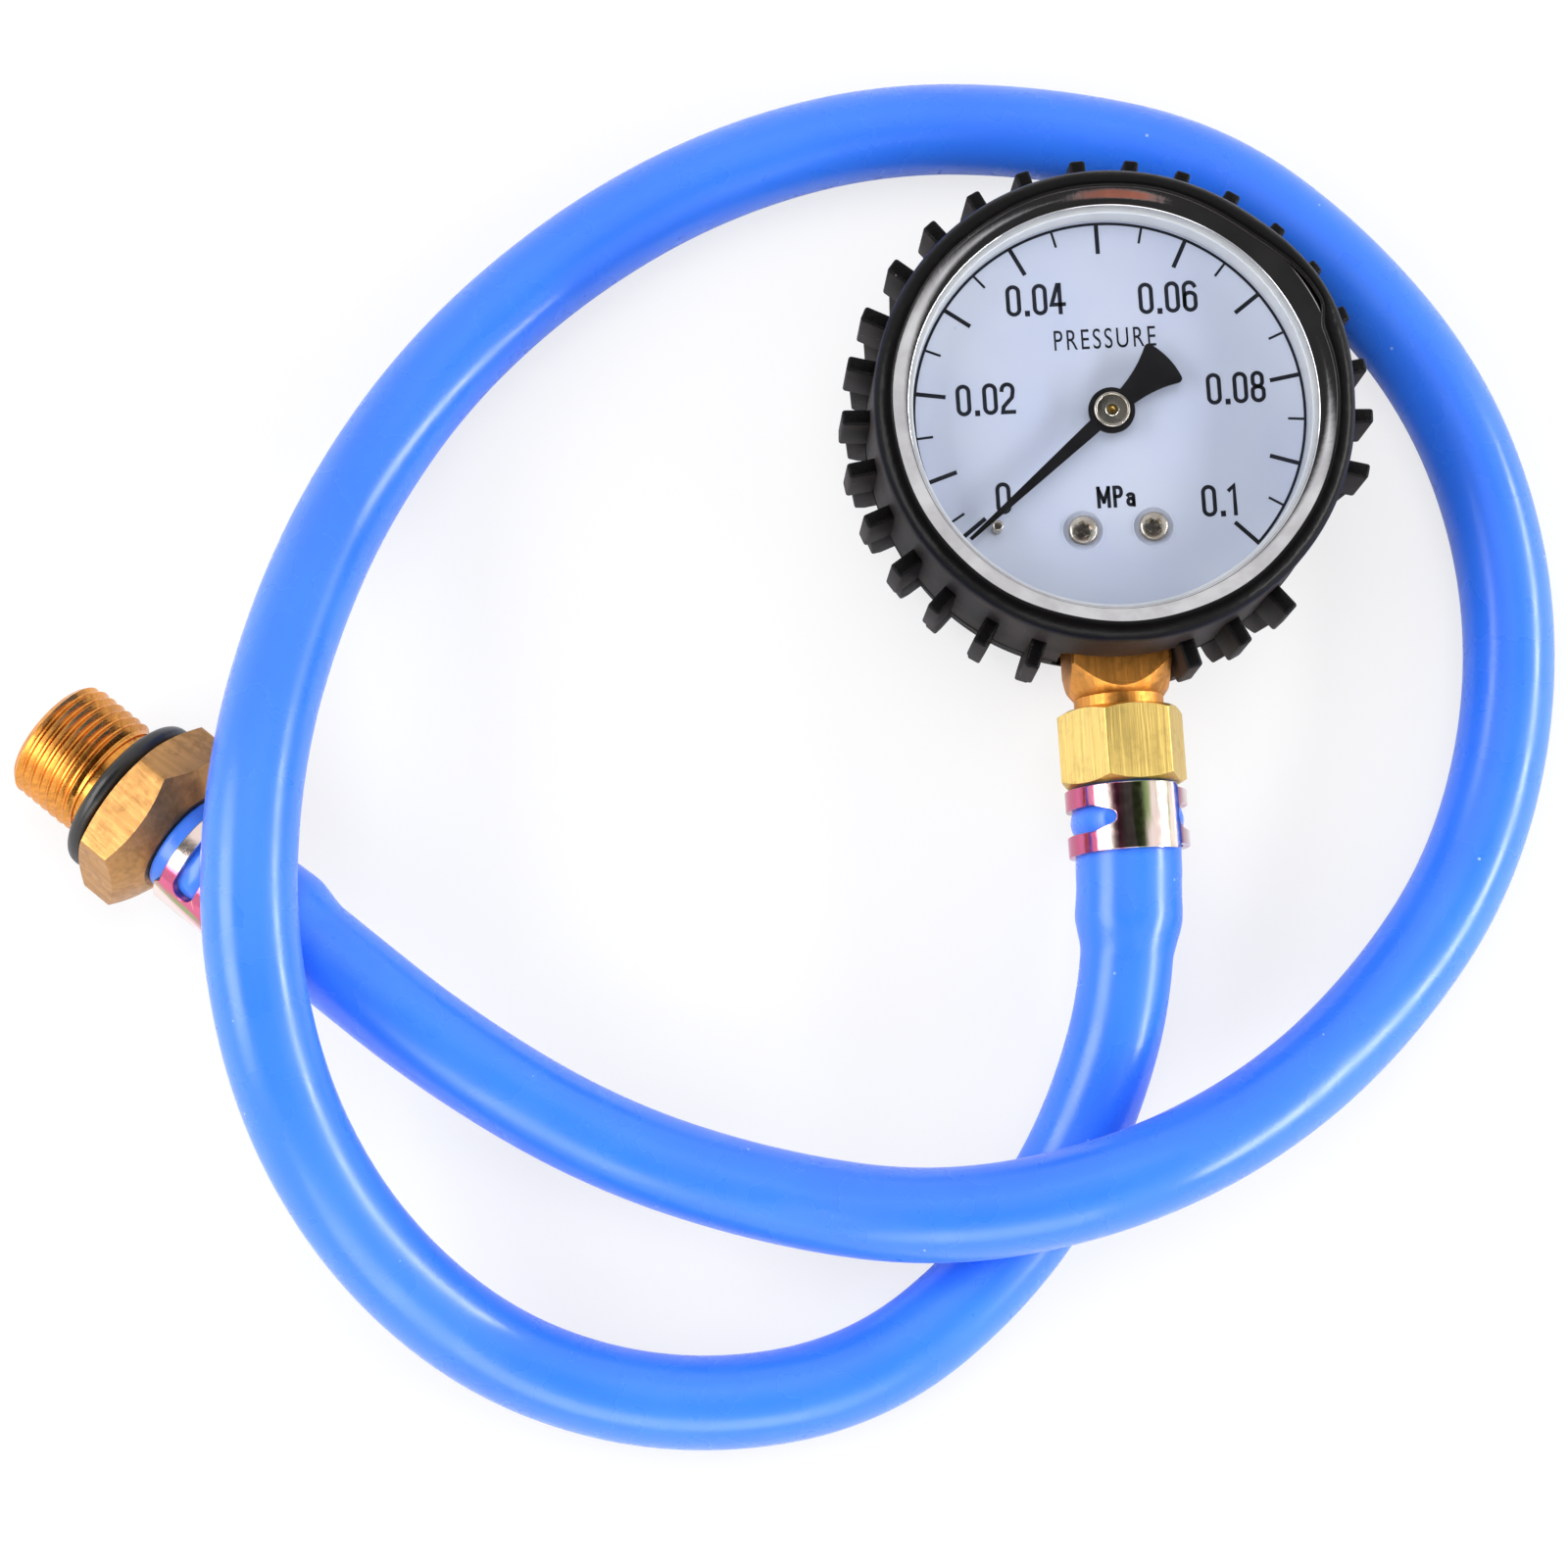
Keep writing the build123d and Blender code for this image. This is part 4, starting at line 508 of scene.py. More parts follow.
def spun(section, steps=160, closed=False, turn=360.0, rise=0.0):
    """A section of (radius, height) points spun round Z; rise makes it a screw."""
    bm = bmesh.new()
    verts = [bm.verts.new((radius, 0, height)) for radius, height in section]
    edges = [bm.edges.new(pair) for pair in zip(verts, verts[1:])]
    if closed:
        edges.append(bm.edges.new((verts[-1], verts[0])))
    whole = turn == 360.0 and not rise
    bmesh.ops.spin(
        bm,
        geom=verts + edges,
        cent=(0, 0, 0),
        axis=(0, 0, 1),
        dvec=(0, 0, rise / steps),
        angle=math.radians(turn),
        steps=steps,
        use_merge=whole,
    )
    bmesh.ops.remove_doubles(bm, verts=bm.verts, dist=1e-4)
    bmesh.ops.recalc_face_normals(bm, faces=bm.faces)
    return bm


def box(low, high):
    """A box between two corners."""
    bm = bmesh.new()
    bmesh.ops.create_cube(bm, size=1.0)
    bmesh.ops.scale(bm, vec=[b - a for a, b in zip(low, high)], verts=bm.verts)
    bmesh.ops.translate(bm, vec=[(a + b) / 2 for a, b in zip(low, high)], verts=bm.verts)
    return bm


def rounded(bm, radius, edges=None, segments=2):
    """Rounds edges of a shape, all of them by default."""
    bmesh.ops.bevel(
        bm,
        geom=list(edges or bm.edges),
        offset=radius,
        offset_type="OFFSET",
        segments=segments,
        profile=0.5,
        affect="EDGES",
        material=-1,
        clamp_overlap=True,
    )
    return bm


def spin_by(degrees):
    """The matrix of a turn round Z."""
    return Matrix.Rotation(math.radians(degrees), 4, "Z")


def widen(vertex, factor):
    """Moves a point away from Z, or nearer to it."""
    vertex.co.x *= factor
    vertex.co.y *= factor


def moved(bm, matrix):
    """The shape after a transform."""
    bmesh.ops.transform(bm, matrix=matrix, verts=bm.verts)
    return bm


def joined(bm, *others):
    """Adds other shapes to a shape."""
    for other in others:
        mesh = bpy.data.meshes.new("join")
        other.to_mesh(mesh)
        other.free()
        bm.from_mesh(mesh)
        bpy.data.meshes.remove(mesh)
    return bm


def loose_object(bm, name):
    """A passing object with a shape's mesh."""
    mesh = bpy.data.meshes.new(name)
    bm.to_mesh(mesh)
    bm.free()
    thing = bpy.data.objects.new(name, mesh)
    bpy.context.scene.collection.objects.link(thing)
    return thing


def evaluated(thing):
    """A new mesh of an object as its modifiers leave it."""
    return bpy.data.meshes.new_from_object(thing.evaluated_get(bpy.context.evaluated_depsgraph_get()))


def mesh_of(curve):
    """A new mesh of a curve or a text, which is then removed."""
    thing = bpy.data.objects.new(curve.name, curve)
    bpy.context.scene.collection.objects.link(thing)
    mesh = evaluated(thing)
    bpy.data.objects.remove(thing)
    bpy.data.curves.remove(curve)
    return mesh


def cut(bm, tool, operation="DIFFERENCE"):
    """The shape after another is taken from it, or after only what both share is kept."""
    thing, cutter = loose_object(bm, "cut"), loose_object(tool, "cutter")
    modifier = thing.modifiers.new("cut", "BOOLEAN")
    modifier.operation, modifier.object, modifier.solver = operation, cutter, "EXACT"
    mesh = evaluated(thing)
    result = bmesh.new()
    result.from_mesh(mesh)
    for spent in (thing, cutter):
        data = spent.data
        bpy.data.objects.remove(spent)
        bpy.data.meshes.remove(data)
    bpy.data.meshes.remove(mesh)
    return result


def piece(bm, name, material, body="gauge", sharp=32.0, replaces=()):
    """A finished piece: to metres, smooth between its sharp edges and on its body; the CAD nodes it replaces
    are hidden.
    """
    bmesh.ops.scale(bm, vec=(MM, MM, MM), verts=bm.verts)
    thing = loose_object(bm, name)
    thing.data.shade_smooth()
    thing.data.set_sharp_from_angle(angle=math.radians(sharp))
    thing.data.materials.append(material)
    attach(thing, body)
    if replaces:
        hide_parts(*replaces)
    return thing


def ring(section, **options):
    """A closed section spun to a ring."""
    return spun(section, closed=True, **options)


def place(origin, along, up):
    """The matrix of a frame whose Z runs along an axis and whose X is nearest to up."""
    z = Vector(along).normalized()
    x = (Vector(up) - Vector(up).dot(z) * z).normalized()
    y = z.cross(x)
    return Matrix.Translation(origin) @ Matrix((x, y, z)).transposed().to_4x4()


# Fittings: the stem's frame runs out from the dial's axis, the adapter's from its hexagon to the hose
END_HEADING, END_RISE, END_ROLL = -42.5, 8.5, 11.5
END_ORIGIN = (-137.5, -44.8, 12.996)
END_ALONG = Euler((0, 0, math.radians(END_HEADING))).to_matrix() @ Vector(
    (math.cos(math.radians(END_RISE)), 0, math.sin(math.radians(END_RISE)))
)
NUT_START, NUT_LENGTH = 39.5, 10.8
END_HEX_LENGTH, END_HEX_CORNER = 8.6, 5.2
BARB_LENGTH, BARB_COUNT = 20.7, 4
BARB_ROOT, BARB_CREST, BARB_BORE = 4.4, 5.25, 2.8


def stem_place(along):
    """The frame on the stem's axis at a distance from the dial's axis."""
    return place((0, -along, STEM_Z), (0, -1, 0), (0, 0, 1))


def end_place(along):
    """The frame on the adapter's axis at a distance from its hexagon's front."""
    return place(Vector(END_ORIGIN) + END_ALONG * along, END_ALONG, (0, 0, 1))


# The turn that brings the adapter's axis to Y in a material's pattern
END_TURN = (0, 0, math.radians(-90 - END_HEADING))

# Route of the hose in metres, the same as the solid's
HOSE_ROUTE = [
    (0, -0.0503, 0.013),
    (0, -0.073, 0.013),
    (-0.0075, -0.097, 0.0075),
    (-0.021, -0.116, 0.0065),
    (-0.041, -0.1305, 0.0065),
    (-0.066, -0.133, 0.0065),
    (-0.089, -0.126, 0.0085),
    (-0.106, -0.1115, 0.018),
    (-0.117, -0.092, 0.0275),
    (-0.1215, -0.0685, 0.0325),
    (-0.12, -0.0445, 0.03),
    (-0.1145, -0.0225, 0.0215),
    (-0.106, -0.002, 0.0115),
    (-0.0925, 0.017, 0.0065),
    (-0.0735, 0.0325, 0.0065),
    (-0.052, 0.0435, 0.0065),
    (-0.0285, 0.049, 0.0065),
    (-0.0045, 0.0475, 0.0065),
    (0.0195, 0.041, 0.0065),
    (0.0375, 0.0255, 0.0065),
    (0.0515, 0.0055, 0.0065),
    (0.058, -0.018, 0.0065),
    (0.057, -0.042, 0.0065),
    (0.049, -0.065, 0.0065),
    (0.034, -0.0835, 0.0085),
    (0.0155, -0.0975, 0.016),
    (-0.0065, -0.1065, 0.0215),
    (-0.0305, -0.1095, 0.019),
    (-0.0535, -0.1045, 0.0115),
    (-0.076, -0.0955, 0.009),
    (-0.0965, -0.082, 0.015),
    (-0.114166, -0.066181, 0.017726),
    (-0.131229, -0.050546, 0.014267),
]

# A clamp's band: its bore, how much its waist is set in, its window's and its tongue's width, and its ears
CLAMP_BORE, CLAMP_WAIST, CLAMP_WINDOW, CLAMP_TONGUE, CLAMP_EAR = 7.45, 0.7, 3.6, 2.8, 3.4
# Angles round a clamp: the window between the fork's arms, then the tongue's window and its shoulder
FORK_START, FORK_END = 17.0, 195.0
TONGUE_START, TONGUE_CLOSE, TONGUE_HALF = -50.0, -128.0, -145.6
# How the adapter's clamp is turned, and how far each clamp stands from its fitting
END_CLAMP_TURN = 103.4
GAUGE_CLAMP_FREE, END_CLAMP_FREE = 0.4, 2.0


def sky_distance(tree, way, centre, reach):
    """Distance of a direction from a patch of the sky, 1 at the patch's edge."""
    off = add(tree, "ShaderNodeVectorMath", {0: way, 1: (*centre, 0)}, operation="SUBTRACT").outputs[0]
    share = (1 / reach[0], 1 / reach[1], 0)
    flat = add(tree, "ShaderNodeVectorMath", {0: off, 1: share}, operation="MULTIPLY").outputs[0]
    return add(tree, "ShaderNodeVectorMath", {0: flat}, operation="LENGTH").outputs["Value"]


def aim_camera(scene):
    """The camera, with the lens, axes and place that fit the photograph."""
    camera = bpy.data.objects.new("Camera", bpy.data.cameras.new("Camera"))
    scene.collection.objects.link(camera)
    right = (0.997614, -0.061200, 0.031727)
    up = (0.056010, 0.988103, 0.143200)
    back = (-0.040113, -0.141082, 0.989185)
    rotation = Matrix((right, up, back)).transposed().to_quaternion()
    stand = Matrix.Translation((-0.069184, -0.122640, 0.541763))
    camera.matrix_world = stand @ rotation.to_matrix().to_4x4()
    camera.data.sensor_width, camera.data.lens, camera.data.clip_start = 36.0, 87.75, 0.01
    scene.camera = camera
    scene.view_settings.view_transform = "Standard"


def hang_lamps(scene):
    """Lamps: narrow on the right, wide on the left and in front, and a fill that no metal mirrors."""
    middle = Vector((-0.035, -0.035, 0.0))
    for name, azimuth, rise, distance, sizes, power in (
        ("Right lamp", -10.0, 24.0, 0.85, (0.09, 1.0), 6.9),
        ("Left lamp", 178.0, 36.0, 0.85, (0.40, 0.8), 5.0),
        ("Front lamp", 266.0, 30.0, 0.95, (0.40, 0.8), 3.2),
        ("Fill lamp", 90.0, 76.0, 1.2, (0.8, 0.8), 5.6),
    ):
        lamp = bpy.data.lights.new(name, "AREA")
        lamp.shape, lamp.size, lamp.size_y, lamp.energy = "RECTANGLE", sizes[0], sizes[1], power
        holder = bpy.data.objects.new(name, lamp)
        scene.collection.objects.link(holder)
        spin, lift = math.radians(azimuth), math.radians(rise)
        away = Vector((math.cos(spin) * math.cos(lift), math.sin(spin) * math.cos(lift), math.sin(lift)))
        holder.location = middle + away * distance
        aim = Matrix.Rotation(spin, 3, "Z") @ Matrix.Rotation(math.pi / 2 - lift, 3, "Y")
        holder.rotation_euler = aim.to_euler()
        holder.visible_glossy = name != "Fill lamp"


def light_world(scene):
    """White to the camera, soft light on the object; metal mirrors a dark patch in a bright sky."""
    world = bpy.data.worlds.new("Studio")
    scene.world = world
    world.use_nodes = True
    tree = world.node_tree
    tree.nodes.clear()
    ray = add(tree, "ShaderNodeLightPath")
    way = add(tree, "ShaderNodeTexCoord").outputs["Generated"]
    height = add(tree, "ShaderNodeSeparateXYZ", {"Vector": way}).outputs[2]

    glossy = ray.outputs["Is Glossy Ray"]
    overhead = sky_distance(tree, way, centre=(-0.06, -0.06), reach=(0.62, 0.50))
    mirrored = spread(tree, overhead, 0.75, 1.1, 0.04, 1.0)
    mirrored = product(tree, mirrored, spread(tree, height, 0.05, 0.4, 1.1, 1.0))
    patch = sky_distance(tree, way, centre=(0.08, -0.36), reach=(0.13, 0.12))
    warm = product(tree, glossy, spread(tree, patch, 0.5, 1.2, 1.0, 0.0))
    mirrored = maths(tree, "ADD", mirrored, product(tree, warm, 0.6))
    soft = spread(tree, height, 0.0, 0.7, 0.80, 0.34)
    change = product(tree, glossy, maths(tree, "SUBTRACT", mirrored, soft))
    soft = maths(tree, "ADD", soft, change)
    seen = maths(tree, "MAXIMUM", ray.outputs["Is Camera Ray"], ray.outputs["Is Transmission Ray"])
    tint = blended(tree, warm, paint(255, 255, 255), paint(238, 150, 124))
    strength = maths(tree, "MAXIMUM", soft, seen)
    light = add(tree, "ShaderNodeBackground", {"Color": tint, "Strength": strength})
    add(tree, "ShaderNodeOutputWorld", {"Surface": light.outputs[0]})


def lay_floor():
    """A pale floor, brightened for the camera, that keeps the shadow."""
    bm = bmesh.new()
    bmesh.ops.create_grid(bm, x_segments=2, y_segments=2, size=4.0)
    floor = loose_object(bm, "Floor")
    finish = Finish("Floor", Roughness=0.9)
    haze = finish.pattern("Clouds", Scale=3.0, Contrast=0.3)
    finish.feed("Base Color", blended(finish.tree, haze, paint(236, 236, 236), paint(232, 232, 232)))
    glow = add(finish.tree, "ShaderNodeEmission", {"Color": (1, 1, 1, 1), "Strength": 1.0})
    ray = add(finish.tree, "ShaderNodeLightPath")
    share = product(finish.tree, ray.outputs["Is Camera Ray"], 0.72)
    mix = add(finish.tree, "ShaderNodeMixShader", {0: share, 1: finish.shader.outputs[0]})
    finish.tree.links.new(glow.outputs[0], mix.inputs[2])
    finish.tree.links.new(mix.outputs[0], finish.output.inputs["Surface"])
    floor.data.materials.append(finish.material)


class TESTER_OT_stage(bpy.types.Operator):
    """Camera, lamps, world and floor"""

    bl_idname = "tester.stage"
    bl_label = "Stage"

    def execute(self, context):
        aim_camera(context.scene)
        hang_lamps(context.scene)
        light_world(context.scene)
        lay_floor()
        return {"FINISHED"}


def route_points():
    """The hose's centreline in millimetres, read from its spline."""
    line = bpy.data.curves.new("route", "CURVE")
    fill_route(line)
    mesh = mesh_of(line)
    points = [vertex.co / MM for vertex in mesh.vertices]
    bpy.data.meshes.remove(mesh)
    return points


def fill_route(curve):
    """Puts the hose's smooth spline in a curve."""
    curve.dimensions, curve.resolution_u = "3D", 14
    spline = curve.splines.new("NURBS")
    spline.points.add(len(HOSE_ROUTE) - 1)
    for point, spot in zip(spline.points, HOSE_ROUTE):
        point.co = (*spot, 1.0)
    spline.order_u = 3
    spline.use_endpoint_u = True


# How far the hose bulges through a clamp's window, and the angle over which it rises
WINDOW_BULGE, WINDOW_SLOPE = 0.55, 14.0


def in_window(angle, along):
    """1 well inside a clamp's window, 0 outside, for the hose that bulges through it."""
    across = max(0.0, 1.0 - abs(along) / (CLAMP_WINDOW / 2))
    best = 0.0
    for start, end in ((FORK_START, FORK_END), (TONGUE_CLOSE, TONGUE_START)):
        inside = min(angle - start, end - angle) / WINDOW_SLOPE
        best = max(best, min(1.0, max(0.0, inside)))
    return best * math.sqrt(across)


def swollen_end(points, start, clamp_turn, clamp_free, sizes):
    """The hose's end over its barbed tube, bent along the route; it fades into the plain hose."""
    radius, swell = sizes.hose_radius / MM, sizes.hose_swell / MM
    straight, fade = 18.4, BARB_LENGTH + 3.4
    barb, clamped, last_barb = BARB_LENGTH / BARB_COUNT, 10, 18.6
    edge, count = 0.6, 46
    section = [(radius - 1.2, 0.12), (swell - 0.5, 0.12), (swell - 0.12, 0.25), (swell - 0.02, edge)]
    for k in range(1, count + 1):
        along = edge + (fade - edge) * k / count
        ease = min(1.0, max(0.0, (along - straight) / (fade - straight)))
        ripple = 0.03 * math.sin(along * 2 * math.pi / barb) * (1 - ease) * (along > clamped)
        bulge = 0.12 * math.exp(-((along - last_barb) ** 2) / 3.0)
        narrowed = (radius - 0.03 - swell) * ease * ease * (3 - 2 * ease)
        section.append((swell + ripple + bulge + narrowed, along))
    bm = spun(section, steps=120)
    middle = clamp_free + sizes.clamp_width / MM / 2
    for vertex in bm.verts:
        angle = math.degrees(math.atan2(vertex.co.y, vertex.co.x)) - clamp_turn
        angle = (angle + 180) % 360 - 180
        lift = WINDOW_BULGE * max(in_window(angle + turn, vertex.co.z - middle) for turn in (0, 360))
        far = math.hypot(vertex.co.x, vertex.co.y)
        if far > radius:
            widen(vertex, (far + lift) / far)
    # Bend the straight end along the hose's line
    lengths = [0.0]
    for before, after in zip(points, points[1:]):
        lengths.append(lengths[-1] + (after - before).length)
    base = start.to_3x3()
    for vertex in bm.verts:
        along = max(0.0, vertex.co.z)
        index = max(1, next(i for i, length in enumerate(lengths) if length > along))
        before, after = points[index - 1], points[index]
        t = (along - lengths[index - 1]) / (lengths[index] - lengths[index - 1])
        spot = before.lerp(after, t)
        ahead, behind = points[index + 1], points[max(0, index - 2)]
        z = (ahead - behind).normalized() if along > 1.0 else base.col[2]
        x = (base.col[0] - base.col[0].dot(z) * z).normalized()
        vertex.co = spot + x * vertex.co.x + z.cross(x) * vertex.co.y
    return bm


class TESTER_OT_hose(bpy.types.Operator):
    """Silicone hose with its two swollen ends"""

    bl_idname = "tester.hose"
    bl_label = "Hose"

    def execute(self, context):
        sizes = context.scene.tester_sizes
        material = silicone_finish(context.scene.tester_colours)
        curve = bpy.data.curves.new("hose_tube", "CURVE")
        fill_route(curve)
        curve.bevel_depth, curve.bevel_resolution = sizes.hose_radius, 12
        hose = bpy.data.objects.new("hose_tube", curve)
        context.scene.collection.objects.link(hose)
        curve.materials.append(material)
        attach(hose, "gauge")
        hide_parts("hose")
        points = route_points()
        near = swollen_end(points, stem_place(NUT_START + NUT_LENGTH), 0.0, GAUGE_CLAMP_FREE, sizes)
        far = swollen_end(points[::-1], end_place(END_HEX_LENGTH), END_CLAMP_TURN, END_CLAMP_FREE, sizes)
        piece(near, "hose_gauge_end", material, sharp=60)
        piece(far, "hose_adapter_end", material, sharp=60)
        return {"FINISHED"}


def eased(value):
    """A value held between 0 and 1, easing at both ends."""
    value = min(1.0, max(0.0, value))
    return value * value * (3 - 2 * value)


# Boot: the seam between its halves, where its lugs start and end, and places for lugs that stay bare
BOOT_SEAM = 13.5
LUG_FOOT, LUG_TOP = 2.2, 25.0
LUG_ROOT, LUG_BACK_ROOT = 31.9, 30.7
BARE_PLACES = (-99, -87, -39, -27)


def lug(sizes, chance):
    """One grip lug along X: a wider front half and a set-back, tapered back half."""
    half = sizes.lug_width / MM / 2 + chance.uniform(-0.05, 0.05)
    tip, back_tip = sizes.lug_tip / MM + chance.uniform(-0.12, 0.05), sizes.lug_back_tip / MM
    edge, inset, overlap = sizes.lug_edge / MM, 0.15, 0.05
    top = LUG_TOP + chance.uniform(-0.15, 0.1)
    front = box((LUG_ROOT, -half, BOOT_SEAM - overlap), (tip, half, top))
    for vertex in front.verts:
        if vertex.co.z > BOOT_SEAM:
            vertex.co.y *= 0.94
    rounded(front, edge, segments=3)
    back = box((LUG_BACK_ROOT, inset - half, LUG_FOOT), (back_tip, half - inset, BOOT_SEAM + overlap))
    for vertex in back.verts:
        if vertex.co.z < BOOT_SEAM and vertex.co.x > LUG_ROOT:
            vertex.co.x -= 0.9
    low = [e for e in back.edges if all(v.co.z < BOOT_SEAM and v.co.x > LUG_ROOT for v in e.verts)]
    rounded(back, 1.3, low, segments=1)
    rounded(back, edge * 0.7, segments=2)
    return joined(front, back)


def boot_section(sizes):
    """Section of the boot's shell, from its back up the wall, over the lip and down inside."""
    radius, foot, bore = sizes.boot_radius / MM, sizes.boot_foot / MM, sizes.lip_bore / MM
    corner, roll, edge = 2.5, 2.1, 0.5
    crest = BEZEL_CREST + 0.05
    flange, case, shoulder, floor = 32.05, 30.05, 25.55, 1.8
    section = [(0, 0), (foot - corner, 0)]
    section += arc((foot - corner, corner), corner, -84, 0, 7)
    section += [(foot + 0.7, 8.0), (radius - 0.2, BOOT_SEAM - 0.3), (radius - 0.2, BOOT_SEAM - 0.08)]
    section += [(radius + 0.14, BOOT_SEAM), (radius, BOOT_SEAM + 0.12)]
    section += [(radius, height) for height in (19.0, 24.6, 28.0)]
    section += arc((radius - roll, BOOT_TOP - roll), roll, 0, 88, 12)
    section += arc((bore + edge, BOOT_TOP - edge), edge, 100, 180, 5)
    section += [(bore, crest), (bore + 0.9, crest)]
    section += arc((BEZEL_ROUND, BEZEL_CREST - BEZEL_CORNER), BEZEL_CORNER + 0.05, 80, 0, 5)
    return section + [(flange, shoulder), (case, shoulder), (case, floor), (0, floor)]


def pull_lip(shell, loose):
    """Makes the lip a little uneven, and lifts it off the bezel at one place, where it ends in a kink."""
    wall, inside, width = 33.2, 30, 2.6
    lip_low, lip_top, rise_from, rise = 25, 33.2, 25.5, 6.5
    for vertex in shell.verts:
        far = math.hypot(vertex.co.x, vertex.co.y)
        turn = math.degrees(math.atan2(vertex.co.y, vertex.co.x))
        if vertex.co.z < lip_low or far < inside:
            continue
        height = eased((vertex.co.z - rise_from) / rise)
        inner = min(1.0, max(0.0, (wall - far) / width))
        fold = eased((50.0 - turn) / 24.0) * eased((turn - 16.5) / 7.5)
        swell = eased((54.0 - turn) / 28.0) * eased((turn + 4.0) / 28.0)
        wave = 0.07 * math.sin(math.radians(5 * turn + 40)) + 0.05 * math.sin(math.radians(11 * turn))
        out = height * (loose * (0.5 * swell * (1 - inner) + fold * inner) + inner * wave)
        widen(vertex, (far + out) / far)
        if vertex.co.z > lip_top:
            vertex.co.z -= 0.15 * inner * fold


class TESTER_OT_boot(bpy.types.Operator):
    """Rubber boot with grip lugs, a rolled lip that is loose in one place, and the stem's opening"""

    bl_idname = "tester.boot"
    bl_label = "Boot"

    def execute(self, context):
        sizes = context.scene.tester_sizes
        shell = spun(boot_section(sizes), steps=288)
        pull_lip(shell, sizes.lip_lift / MM)
        half, corner = 8.4, 1.6
        opening = box((-half, -40.0, STEM_Z - half), (half, -26.0, STEM_Z + half))
        shell = cut(shell, rounded(opening, corner, segments=4))
        chance = random.Random(11)
        for k in range(-sizes.lug_count // 2, sizes.lug_count // 2):
            angle = -15.0 + k * 360.0 / sizes.lug_count
            shape = lug(sizes, chance)
            if round(angle) in BARE_PLACES:
                shape.free()
                continue
            joined(shell, moved(shape, spin_by(angle + chance.uniform(-0.35, 0.35))))
        rubber = rubber_finish(context.scene.tester_colours)
        piece(shell, "rubber_boot", rubber, replaces=["boot"])
        return {"FINISHED"}


class TESTER_OT_front(bpy.types.Operator):
    """Chromed bezel, window and white seat ring"""

    bl_idname = "tester.front"
    bl_label = "Bezel and window"

    def execute(self, context):
        colours = context.scene.tester_colours
        bore, lip, edge = context.scene.tester_sizes.bezel_bore / MM, WINDOW_TOP + 0.6, 0.28
        outer, flange, turned_in = 31.4, 30.3, BEZEL_LOW + 0.6
        section = arc((BEZEL_ROUND, BEZEL_CREST - BEZEL_CORNER), BEZEL_CORNER, 0, 84, 8)
        section += [(30.5, BEZEL_CREST - 0.18), (29.6, BEZEL_CREST - 0.46)]
        section += arc((bore + edge, lip - edge), edge, 75, 180, 6)
        section += [(bore + 0.1, WINDOW_TOP), (30.6, WINDOW_TOP + 0.1), (BEZEL_ROUND, BEZEL_CREST - 0.6)]
        section += [(outer, BEZEL_CREST - 0.8), (outer, turned_in), (flange, turned_in), (flange, BEZEL_LOW)]
        section += arc((31.6, BEZEL_LOW + 0.4), 0.4, -90, 0, 4)
        bezel = ring(section, steps=256)
        piece(bezel, "bezel_ring", chrome_finish(colours), replaces=["bezel"])
        low, step, bore, wall, edge = 26.25, 27.0, 27.6, 29.15, 0.12
        seat = [(bore + edge, low), (wall, low), (wall, step), (31.1, step), (31.1, WINDOW_LOW)]
        seat += [(bore + edge, WINDOW_LOW), (bore, WINDOW_LOW - edge), (bore, low + edge)]
        white = plain_finish("White ring", colours.white, paint(206, 207, 208), 0.3, 0.42)
        piece(ring(seat, steps=192), "white_seat", white, replaces=["seat_ring"])
        glass = [(0, WINDOW_LOW), (30.6, WINDOW_LOW), (30.8, WINDOW_LOW + 0.2), (30.8, WINDOW_TOP - 0.2)]
        glass += [(30.6, WINDOW_TOP), (0, WINDOW_TOP)]
        piece(spun(glass, steps=128), "window_glass", glass_finish(), replaces=["window"])
        return {"FINISHED"}


def letters(words, centre, height, width):
    """Flat raised letters that fill a box, in millimetres."""
    text = bpy.data.curves.new("text", "FONT")
    text.body, text.extrude, text.space_character = words, 0.01, 1.25
    mesh = mesh_of(text)
    bm = bmesh.new()
    bm.from_mesh(mesh)
    bpy.data.meshes.remove(mesh)
    lows = [min(v.co[i] for v in bm.verts) for i in range(2)]
    highs = [max(v.co[i] for v in bm.verts) for i in range(2)]
    middle = [-(a + b) / 2 for a, b in zip(lows, highs)]
    bmesh.ops.translate(bm, vec=(*middle, 0), verts=bm.verts)
    fit = (width / (highs[0] - lows[0]), height / (highs[1] - lows[1]), 1.2)
    bmesh.ops.scale(bm, vec=fit, verts=bm.verts)
    bmesh.ops.translate(bm, vec=(*centre, DIAL_TOP + 0.008), verts=bm.verts)
    return bm


